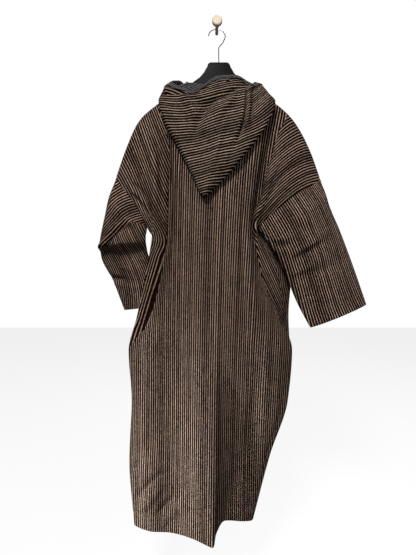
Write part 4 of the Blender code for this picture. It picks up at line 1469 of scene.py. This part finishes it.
    # The rounded tip: sizes of its rings, and how far it drops
    tip_sizes: tuple[float, ...] = (0.75, 0.4, 0.0)
    tip_drop: float = 0.004
    # The pouch's size for the creases, round and deep, and where they fade, at its mouth and its tip
    crease_scale: Pair = (0.30, 0.40)
    mouth_fade: float = 0.04
    tip_fade: float = 0.1
    creases: tuple[Crease, ...] = creases_of(
        (350, 80, 150, 180, 9, -8), (210, 160, -50, 225, 11, -11), (-20, 205, -150, 310, 13, -16),
        (-110, 280, -330, 560, 14, -14), (200, 240, -40, 380, 15, 11), (-280, 150, -230, 400, 18, 8),
        (325, 160, 328, 620, 6, -11), (285, 170, 298, 600, 9, 7), (-580, 128, -200, 135, 7, -9),
        (-540, 85, -260, 90, 10, 5), (-300, 215, -120, 200, 6, 4), (100, 420, 60, 760, 14, 5),
        (-80, 560, -60, 820, 12, -4.5), (560, 160, 520, 420, 9, -4), (640, 120, 620, 340, 9, 3.5),
        (-500, 220, -450, 440, 12, 3),
    )

    def neck_seam(self, turns: np.ndarray) -> np.ndarray:
        """Where the hood is sewn to the back panel, across the neck; elsewhere not a number.

        Args:
            turns: places round the hood, from -1 to 1.

        Returns:
            Points in metres.
        """
        places = np.full((len(turns), 3), np.nan)
        sewn = np.abs(turns) >= self.side_turn - 1e-6
        share = (1.0 - np.abs(turns[sewn])) / (1.0 - self.side_turn)
        threads = np.copysign(self.drape.neck_half * share, turns[sewn])
        places[sewn] = self.drape.back(threads, [0.0])[0]
        places[:, 2] += self.lift
        return places

    def points(self, turns: np.ndarray, along: np.ndarray) -> np.ndarray:
        """Points of the pouch: rings from its mouth to its tip.

        Args:
            turns: places round the hood, from -1 to 1.
            along: shares of the way from the mouth to the tip.

        Returns:
            Points in metres, by ring and place.
        """
        rings = []
        for section in self.sections:
            ring = np.array(section[1:] + section[1:2], float) * MM * (1.0, -1.0, 1.0)
            rings.append(through(self.round_places + (1.0,), ring, turns))
        sewn = self.neck_seam(turns)
        rings[0] = np.where(np.isnan(sewn), rings[0], sewn)
        return through([section[0] for section in self.sections], np.array(rings), along)

    def pattern(self, grid: Grid) -> np.ndarray:
        """Pattern coordinates of each face of the pouch.

        Args:
            grid: the pouch's grid.

        Returns:
            Corner coordinates of each face.
        """
        points, turns = grid.points, grid.across
        face, flank = (part.at(points, self.period) for part in (self.face_field, self.flank_field))
        crease = int(np.argmin(np.abs(turns - self.flank_turn)))
        body = np.where(turns > turns[crease], flank + (face - flank)[:, crease:crease + 1], face)
        bump = -math.cos(self.bump_fall) * points[..., 2] - math.sin(self.bump_fall) * points[..., 0]
        plain, raised = (corners(distance, grid.run(1)) for distance in (body, bump))
        here = (grid.along[1:, None] < self.bump_end) & (turns[None, 1:] < self.bump_turn)
        return np.where(here[:, :, None, None], raised, plain)

    def build(self) -> list[Object]:
        """Returns:
            The pouch, the strip and the band.
        """
        turns = np.linspace(-1.0, 1.0, self.sides + 1)
        along = np.linspace(0.0, 1.0, self.rows) ** self.row_power
        pouch_grid = Grid(self.points(turns, along), turns, along)
        height = crease_heights(turns, along, self.creases, self.crease_scale)
        fade = np.clip(along / self.mouth_fade, 0.0, 1.0) * np.clip((1.0 - along) / self.tip_fade, 0.0, 1.0)
        height *= fade[:, None]
        pouch_grid.lift(height)
        points = pouch_grid.points
        points[:, -1] = points[:, 0]
        tip = points[-1].mean(axis=0)
        rounds = [
            tip + (points[-1] - tip) * size + (0.0, 0.0, -self.tip_drop * (1.0 - size * size))
            for size in self.tip_sizes
        ]
        grid = Grid(np.concatenate([points, rounds]), turns, np.append(along, np.ones(len(rounds))))
        mesh = cloth_mesh("hood_cloth", grid.points, self.pattern(grid), Face.AS_MADE, closed=True)
        pouch = self.wool.walled(mesh)
        trims = [self.strip(), self.band(pouch_grid)]
        around, deep = float(grid.run(1)[:, -1].max()), float(grid.run(0)[-1].max())
        points = grid.points
        cells = np.cross(points[1:, :-1] - points[:-1, :-1], points[:-1, 1:] - points[:-1, :-1])
        area = float(np.linalg.norm(cells, axis=2).sum()) + self.trim_area
        hang_sheet(pouch, "hood", (around, deep), min(area, around * deep), trims)
        return [pouch, *trims]

    def strip(self) -> Object:
        """The low strip that goes round the front of the neck, to the slit on each side.

        Returns:
            The strip.
        """
        threads = np.linspace(self.strip_end, self.drape.neck_half, self.strip_columns)
        share = np.linspace(1.0, 0.0, self.strip_rows)[:, None]
        rise = np.hstack([0.0 * share, self.strip_flare * share, self.lift + self.strip_height * share])
        bm = bmesh.new()
        for side, face in ((Side.LEFT, Face.AS_MADE), (Side.RIGHT, Face.TURNED)):
            points = self.drape.front(side.value * threads, [0.0]) + rise[:, None, :]
            grid = Grid(points, threads, share)
            pattern = corners(grid.run(0) + self.strip_phase, grid.run(1))
            half = cloth_mesh("strip_half", points, pattern, face)
            bm.from_mesh(half)
            bpy.data.meshes.remove(half)
        return self.wool.walled(smooth_mesh("neck_strip", bm))

    def band(self, pouch: Grid) -> Object:
        """The face edge, turned out over the pouch so that the reverse of the weave shows.

        Args:
            pouch: the pouch's grid, as far as its tip.

        Returns:
            The band.
        """
        first, last = self.band_turns
        down, normal = pouch.run(0), pouch.normals()
        columns = []
        for column in np.where((pouch.across > first) & (pouch.across < last))[0]:
            uneven = 1.0 + sum(size * math.sin(pouch.across[column] * k + shift) for size, k, shift in self.band_waves)
            line, ways, run = pouch.points[:, column], normal[:, column], down[:, column]
            up = (line[0] - line[1]) / np.linalg.norm(line[0] - line[1])
            places = []
            for share, lift in zip(self.band_drops, self.band_lifts):
                depth = self.band_width * share
                if depth >= 0.0:
                    at, side = (
                        np.array([np.interp(depth * uneven, run, values[:, k]) for k in range(3)])
                        for values in (line, ways)
                    )
                else:
                    at, side = line[0] - up * depth, ways[0]
                places.append(at + side * lift)
            columns.append(places)
        points = np.array(columns).transpose(1, 0, 2)
        grid = Grid(points, np.arange(points.shape[1]), np.array(self.band_drops))
        pattern = corners(grid.run(0) + self.band_phase, grid.run(1))
        mesh = cloth_mesh("hood_band", points, pattern, Face.AS_MADE)
        return Wool(self.wool.inner, self.wool.inner).walled(mesh, self.band_wall)


@dataclass
class Hanger:
    """The hanger's flat body, with rounded edges."""

    drape: BodyDrape
    plastic: Material
    y: float = -0.045
    thickness: float = 0.009
    arm_height: float = 0.026
    head_middle: float = 0.0055
    head_top: float = -0.1160
    head_half: float = 0.0355
    head_corner: float = 0.012
    end: float = 0.216
    below_seam: float = 0.0029
    seam_start: float = 0.07
    arm_start: float = 0.107
    rounding: float = 0.0016
    flare: tuple[Pair, ...] = (
        (0.0475, -0.149), (0.060, -0.163), (0.076, -0.1785), (0.0865, -0.1950), (0.097, -0.2012),
    )
    under_arm: Triple = (0.160, 0.130, 0.100)
    lower: tuple[Pair, ...] = ((0.050, -0.208), (0.020, -0.196))
    # The rounded end of an arm, from where its upper edge ends
    tip: tuple[Pair, ...] = ((0.006, -0.008), (0.006, -0.018), (-0.004, -0.024))

    def under_shoulder(self, x: float, depth: float) -> Pair:
        """The point under the shoulder seam, at right angles to it, by the given depth.

        Args:
            x: place across, in metres.
            depth: distance from the seam, in metres.

        Returns:
            The point's x and z.
        """
        edge = self.drape.back(np.linspace(self.seam_start, THREADS[-1], 60), [0.0])[0]
        step = 0.004
        left, middle, right = np.interp([x - step, x, x + step], edge[:, 0], edge[:, 2])
        slope = math.atan2(right - left, 2.0 * step)
        return x + depth * math.sin(slope), float(middle) - depth * math.cos(slope)

    def outline(self) -> list[Pair]:
        """The outline from the front: a head that flares into two sloping arms.

        Returns:
            Places x and z, all the way round.
        """
        side = [
            (self.head_half + self.head_corner * (sine - 1.0), self.head_top + self.head_corner * (cosine - 1.0))
            for sine, cosine in quarter(6)
        ]
        side += self.flare
        side += [self.under_shoulder(float(x), self.below_seam) for x in np.linspace(self.arm_start, self.end, 16)]
        end_z = side[-1][1]
        side += [(self.end + x, end_z + z) for x, z in self.tip]
        side += [self.under_shoulder(float(x), self.arm_height) for x in self.under_arm]
        side += self.lower
        shifts = [self.head_middle if x < self.flare[2][0] else 0.0 for x, _ in side]
        right = [(x + shift, z) for (x, z), shift in zip(side, shifts)]
        left = [(-x + shift, z) for (x, z), shift in zip(side, shifts)]
        return right + left[::-1]

    def build(self) -> Object:
        """Make the plate.

        Returns:
            The plate.
        """
        bm = bmesh.new()
        front = self.y - self.thickness / 2.0
        face = bm.faces.new([bm.verts.new((x, front, z)) for x, z in self.outline()])
        grown = bmesh.ops.extrude_face_region(bm, geom=[face])["geom"]
        moved = [item for item in grown if isinstance(item, bmesh.types.BMVert)]
        bmesh.ops.translate(bm, vec=(0.0, self.thickness, 0.0), verts=moved)
        bmesh.ops.recalc_face_normals(bm, faces=bm.faces)
        rims = [
            edge for edge in bm.edges
            if edge.calc_face_angle(0.0) > 1.0 and abs(edge.verts[0].co.y - edge.verts[1].co.y) < 1e-6
        ]
        bmesh.ops.bevel(bm, geom=rims, offset=self.rounding, offset_type="OFFSET", affect="EDGES", segments=3,
                        profile=0.5, material=-1, clamp_overlap=True)
        plate = linked("hanger_plate", smooth_mesh("hanger_plate", bm, 50.0))
        plate.data.materials.append(self.plastic)
        dress(plate, "hanger_body")
        return plate


@dataclass
class Hook:
    """The wire hook: round the peg, a kink back to the middle, and down into the hanger's head."""

    hanger: Hanger
    steel: Material
    wire_radius: float = 0.0015
    bend_radius: float = 0.0265
    stem_radius: float = 0.0050
    gap: float = 0.0003
    wall_distance: float = 0.014
    # Degrees where the bend starts and how far it goes round, and the height of the kink below it
    bend_start: float = 176.0
    bend_turn: float = 212.0
    kink_height: float = 0.030

    def route(self) -> list[Triple]:
        """Middle line of the wire.

        Returns:
            Places on it, from its free end to the hanger's head.
        """
        top = self.stem_radius + 1.6 * self.gap + self.wire_radius
        flat = []
        for share in np.linspace(0.0, 1.0, 43):
            angle = math.radians(self.bend_start - self.bend_turn * share)
            flat.append((self.bend_radius * math.cos(angle), top + self.bend_radius * (math.sin(angle) - 1.0)))
        end_x, end_z = flat[-1]
        for share in np.linspace(0.0, 1.0, 17)[1:]:
            x = end_x + (self.hanger.head_middle - end_x) * float(soft_step(share, 0.0, 1.0))
            flat.append((x, end_z - self.kink_height * share))
        flat.append((self.hanger.head_middle, self.hanger.head_top + 2.0 * self.gap))
        lean = (self.hanger.y + self.wall_distance) / (self.hanger.head_top - top)
        return [(x, -self.wall_distance + lean * (z - top), z) for x, z in flat]

    def build(self) -> Object:
        """Make the wire.

        Returns:
            The wire.
        """
        curve = bpy.data.curves.new("hook_line", "CURVE")
        curve.dimensions = "3D"
        curve.bevel_depth = self.wire_radius
        curve.bevel_resolution = 4
        curve.use_fill_caps = True
        route = self.route()
        spline = curve.splines.new("POLY")
        spline.points.add(len(route) - 1)
        for point, place in zip(spline.points, route):
            point.co = (*place, 1.0)
        line = linked("hook_line", curve)
        mesh = bpy.data.meshes.new_from_object(line.evaluated_get(bpy.context.evaluated_depsgraph_get()))
        bpy.data.objects.remove(line)
        mesh.name = "hook_wire"
        mesh.shade_smooth()
        mesh.materials.clear()
        mesh.materials.append(self.steel)
        wire = linked("hook_wire", mesh)
        dress(wire, "hanger_hook")
        return wire


@dataclass
class Peg:
    """The turned peg: a stem out of the wall and a round knob."""

    wood: Material
    length: float = 0.076
    stem_radius: float = 0.0050
    knob_radius: float = 0.0155
    knob_depth: float = 0.018
    front_round: float = 0.005
    back_round: float = 0.007
    steps: int = 64

    def profile(self) -> list[Pair]:
        """Radius and height of the turned outline, from the middle of the knob's face to the wall.

        Returns:
            Places on the outline.
        """
        knob = self.length - self.knob_depth
        front = [
            (self.knob_radius + self.front_round * (sine - 1.0), self.length + self.front_round * (cosine - 1.0))
            for sine, cosine in quarter(8)
        ]
        back = [
            (self.knob_radius + self.back_round * (cosine - 1.0), knob + self.back_round * (1.0 - sine))
            for sine, cosine in quarter(8)
        ]
        return [(0.0, self.length), *front, *back, (self.stem_radius, knob), (self.stem_radius, 0.0), (0.0, 0.0)]

    def build(self) -> Object:
        """Make the peg.

        Returns:
            The peg.
        """
        bm = bmesh.new()
        verts = [bm.verts.new((radius, -height, 0.0)) for radius, height in self.profile()]
        edges = [bm.edges.new(pair) for pair in zip(verts, verts[1:])]
        bmesh.ops.spin(bm, geom=verts + edges, cent=(0.0, 0.0, 0.0), axis=(0.0, 1.0, 0.0), angle=2.0 * math.pi,
                       steps=self.steps, use_merge=True)
        bmesh.ops.remove_doubles(bm, verts=bm.verts, dist=1e-6)
        bmesh.ops.recalc_face_normals(bm, faces=bm.faces)
        peg = linked("turned_peg", smooth_mesh("turned_peg", bm, 40.0))
        peg.data.materials.append(self.wood)
        dress(peg, "wall_peg")
        return peg


@dataclass(frozen=True)
class Lamp:
    """A soft light: a square one of the given size, or a spot where it has a cone, in degrees."""

    name: str
    power: float
    place: Triple
    target: Triple
    size: float
    cone: float | None = None
    colour: Triple = (1.0, 1.0, 1.0)

    def hang(self) -> None:
        """Put the light in its place, pointing at the target."""
        lamp = bpy.data.lights.new(self.name, "SPOT" if self.cone else "AREA")
        if self.cone:
            lamp.shadow_soft_size = self.size
            lamp.spot_size = math.radians(self.cone)
            lamp.spot_blend = 1.0
        else:
            lamp.shape = "SQUARE"
            lamp.size = self.size
        lamp.energy = self.power
        lamp.color = self.colour
        thing = linked(self.name, lamp)
        thing.location = self.place
        x, y, z = np.array(self.target) - self.place
        thing.rotation_euler = (math.atan2(math.hypot(x, y), -z), 0.0, math.atan2(-x, y))


@dataclass
class Studio:
    """A pale floor, soft lights and the camera at the photograph's angle."""

    floor_z: float = -1.78
    floor_size: float = 14.0
    floor_grey: Triple = (0.22, 0.22, 0.22)
    floor_glow: float = 0.84
    white: Triple = (1.0, 1.0, 1.0)
    ambient: float = 0.08
    camera_place: Triple = (-0.028, -1.35, -0.784)
    lens: float = 27.2
    frame_height: float = 36.0
    lamps: tuple[Lamp, ...] = (
        Lamp("key_light", 62.0, (-0.52, -2.30, 0.98), (0.0, -0.1, -0.60), 0.6),
        Lamp("fill_light", 12.0, (1.4, -2.4, 0.3), (0.0, -0.1, -0.60), 1.2),
        Lamp("wall_side_light", 50.0, (0.7, 2.1, 2.2), (0.0, -0.1, -0.80), 1.0),
        Lamp("low_light", 350.0, (-2.1, -1.6, -1.2), (-0.05, -0.2, -1.46), 0.22, 29.0, (0.90, 0.96, 1.0)),
    )

    def build(self) -> None:
        """Make the floor, the lights, the surroundings and the camera."""
        self.floor()
        self.world()
        for lamp in self.lamps:
            lamp.hang()
        self.camera()
        bpy.context.scene.view_settings.view_transform = "Standard"

    def floor(self) -> None:
        """The floor, which looks nearly white to the camera and stays grey to the cloth."""
        bm = bmesh.new()
        bmesh.ops.create_grid(bm, x_segments=1, y_segments=1, size=self.floor_size / 2.0)
        bmesh.ops.translate(bm, vec=(0.0, 0.0, self.floor_z), verts=bm.verts)
        floor = linked("floor", smooth_mesh("floor", bm))
        pale = bpy.data.materials.new("pale_floor")
        pale.use_nodes = True
        kit = NodeKit(pale.node_tree)
        seen = kit.add("ShaderNodeLightPath").outputs["Is Camera Ray"]
        inputs = {
            "Base Color": self.floor_grey,
            "Roughness": 0.9,
            "Emission Color": self.white,
            "Emission Strength": kit.times(seen, self.floor_glow),
        }
        for name, value in inputs.items():
            kit.feed(pale.node_tree.nodes["Principled BSDF"].inputs[name], value)
        floor.data.materials.append(pale)

    def world(self) -> None:
        """White surroundings, which light the cloth less than they show."""
        world = bpy.data.worlds.new("studio")
        world.use_nodes = True
        kit = NodeKit(world.node_tree)
        background = world.node_tree.nodes["Background"].inputs
        seen = kit.add("ShaderNodeLightPath").outputs["Is Camera Ray"]
        kit.feed(background["Color"], self.white)
        kit.feed(background["Strength"], kit.smooth(seen, 0.0, 1.0, self.ambient, 1.0))
        bpy.context.scene.world = world

    def camera(self) -> None:
        """The camera, level."""
        data = bpy.data.cameras.new("camera")
        data.sensor_fit = "VERTICAL"
        data.sensor_height = self.frame_height
        data.lens = self.lens
        camera = linked("camera", data)
        camera.location = self.camera_place
        camera.rotation_euler = (math.pi / 2.0, 0.0, 0.0)
        bpy.context.scene.camera = camera


def main() -> None:
    """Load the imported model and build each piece."""
    logging.basicConfig(level=logging.INFO, format="%(name)s: %(message)s")
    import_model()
    drape = BodyDrape()
    reverse = WoolFinish(
        "striped_wool_reverse", rib=(0.190, 0.176, 0.178), ground=(0.0070, 0.0058, 0.0062), fleck=(0.17, 0.16, 0.17),
    ).material()
    wool = Wool(WoolFinish("striped_wool").material(), reverse)
    hood_finish = WoolFinish(
        "striped_wool_hood", rib=(0.365, 0.270, 0.208), ground=(0.0050, 0.0020, 0.0013), period=Hood.period,
        rib_share=0.13,
    )
    plastic = HardFinish("hanger_plastic", (0.0040, 0.0040, 0.0046), 0.50, specular=0.09)
    steel = HardFinish("hook_steel", (0.62, 0.62, 0.61), 0.26, metallic=1.0, grain_scale=200.0, grain_amount=0.2)
    Studio().build()
    LOG.info("studio ready")
    hanger = Hanger(drape, plastic.material())
    pieces = [hanger.build(), BackPanel(drape, wool).build(), FrontPanel(drape, wool).build()]
    pieces += [LeftSleeve(drape, wool).build(), RightSleeve(drape, wool).build()]
    pieces += Hood(drape, Wool(hood_finish.material(), reverse)).build()
    pieces += [Hook(hanger, steel.material()).build(), Peg(WoodFinish("peg_wood").material()).build()]
    for piece in pieces:
        LOG.info("%s: %d faces", piece.name, len(piece.data.polygons))


if __name__ == "__main__":
    main()
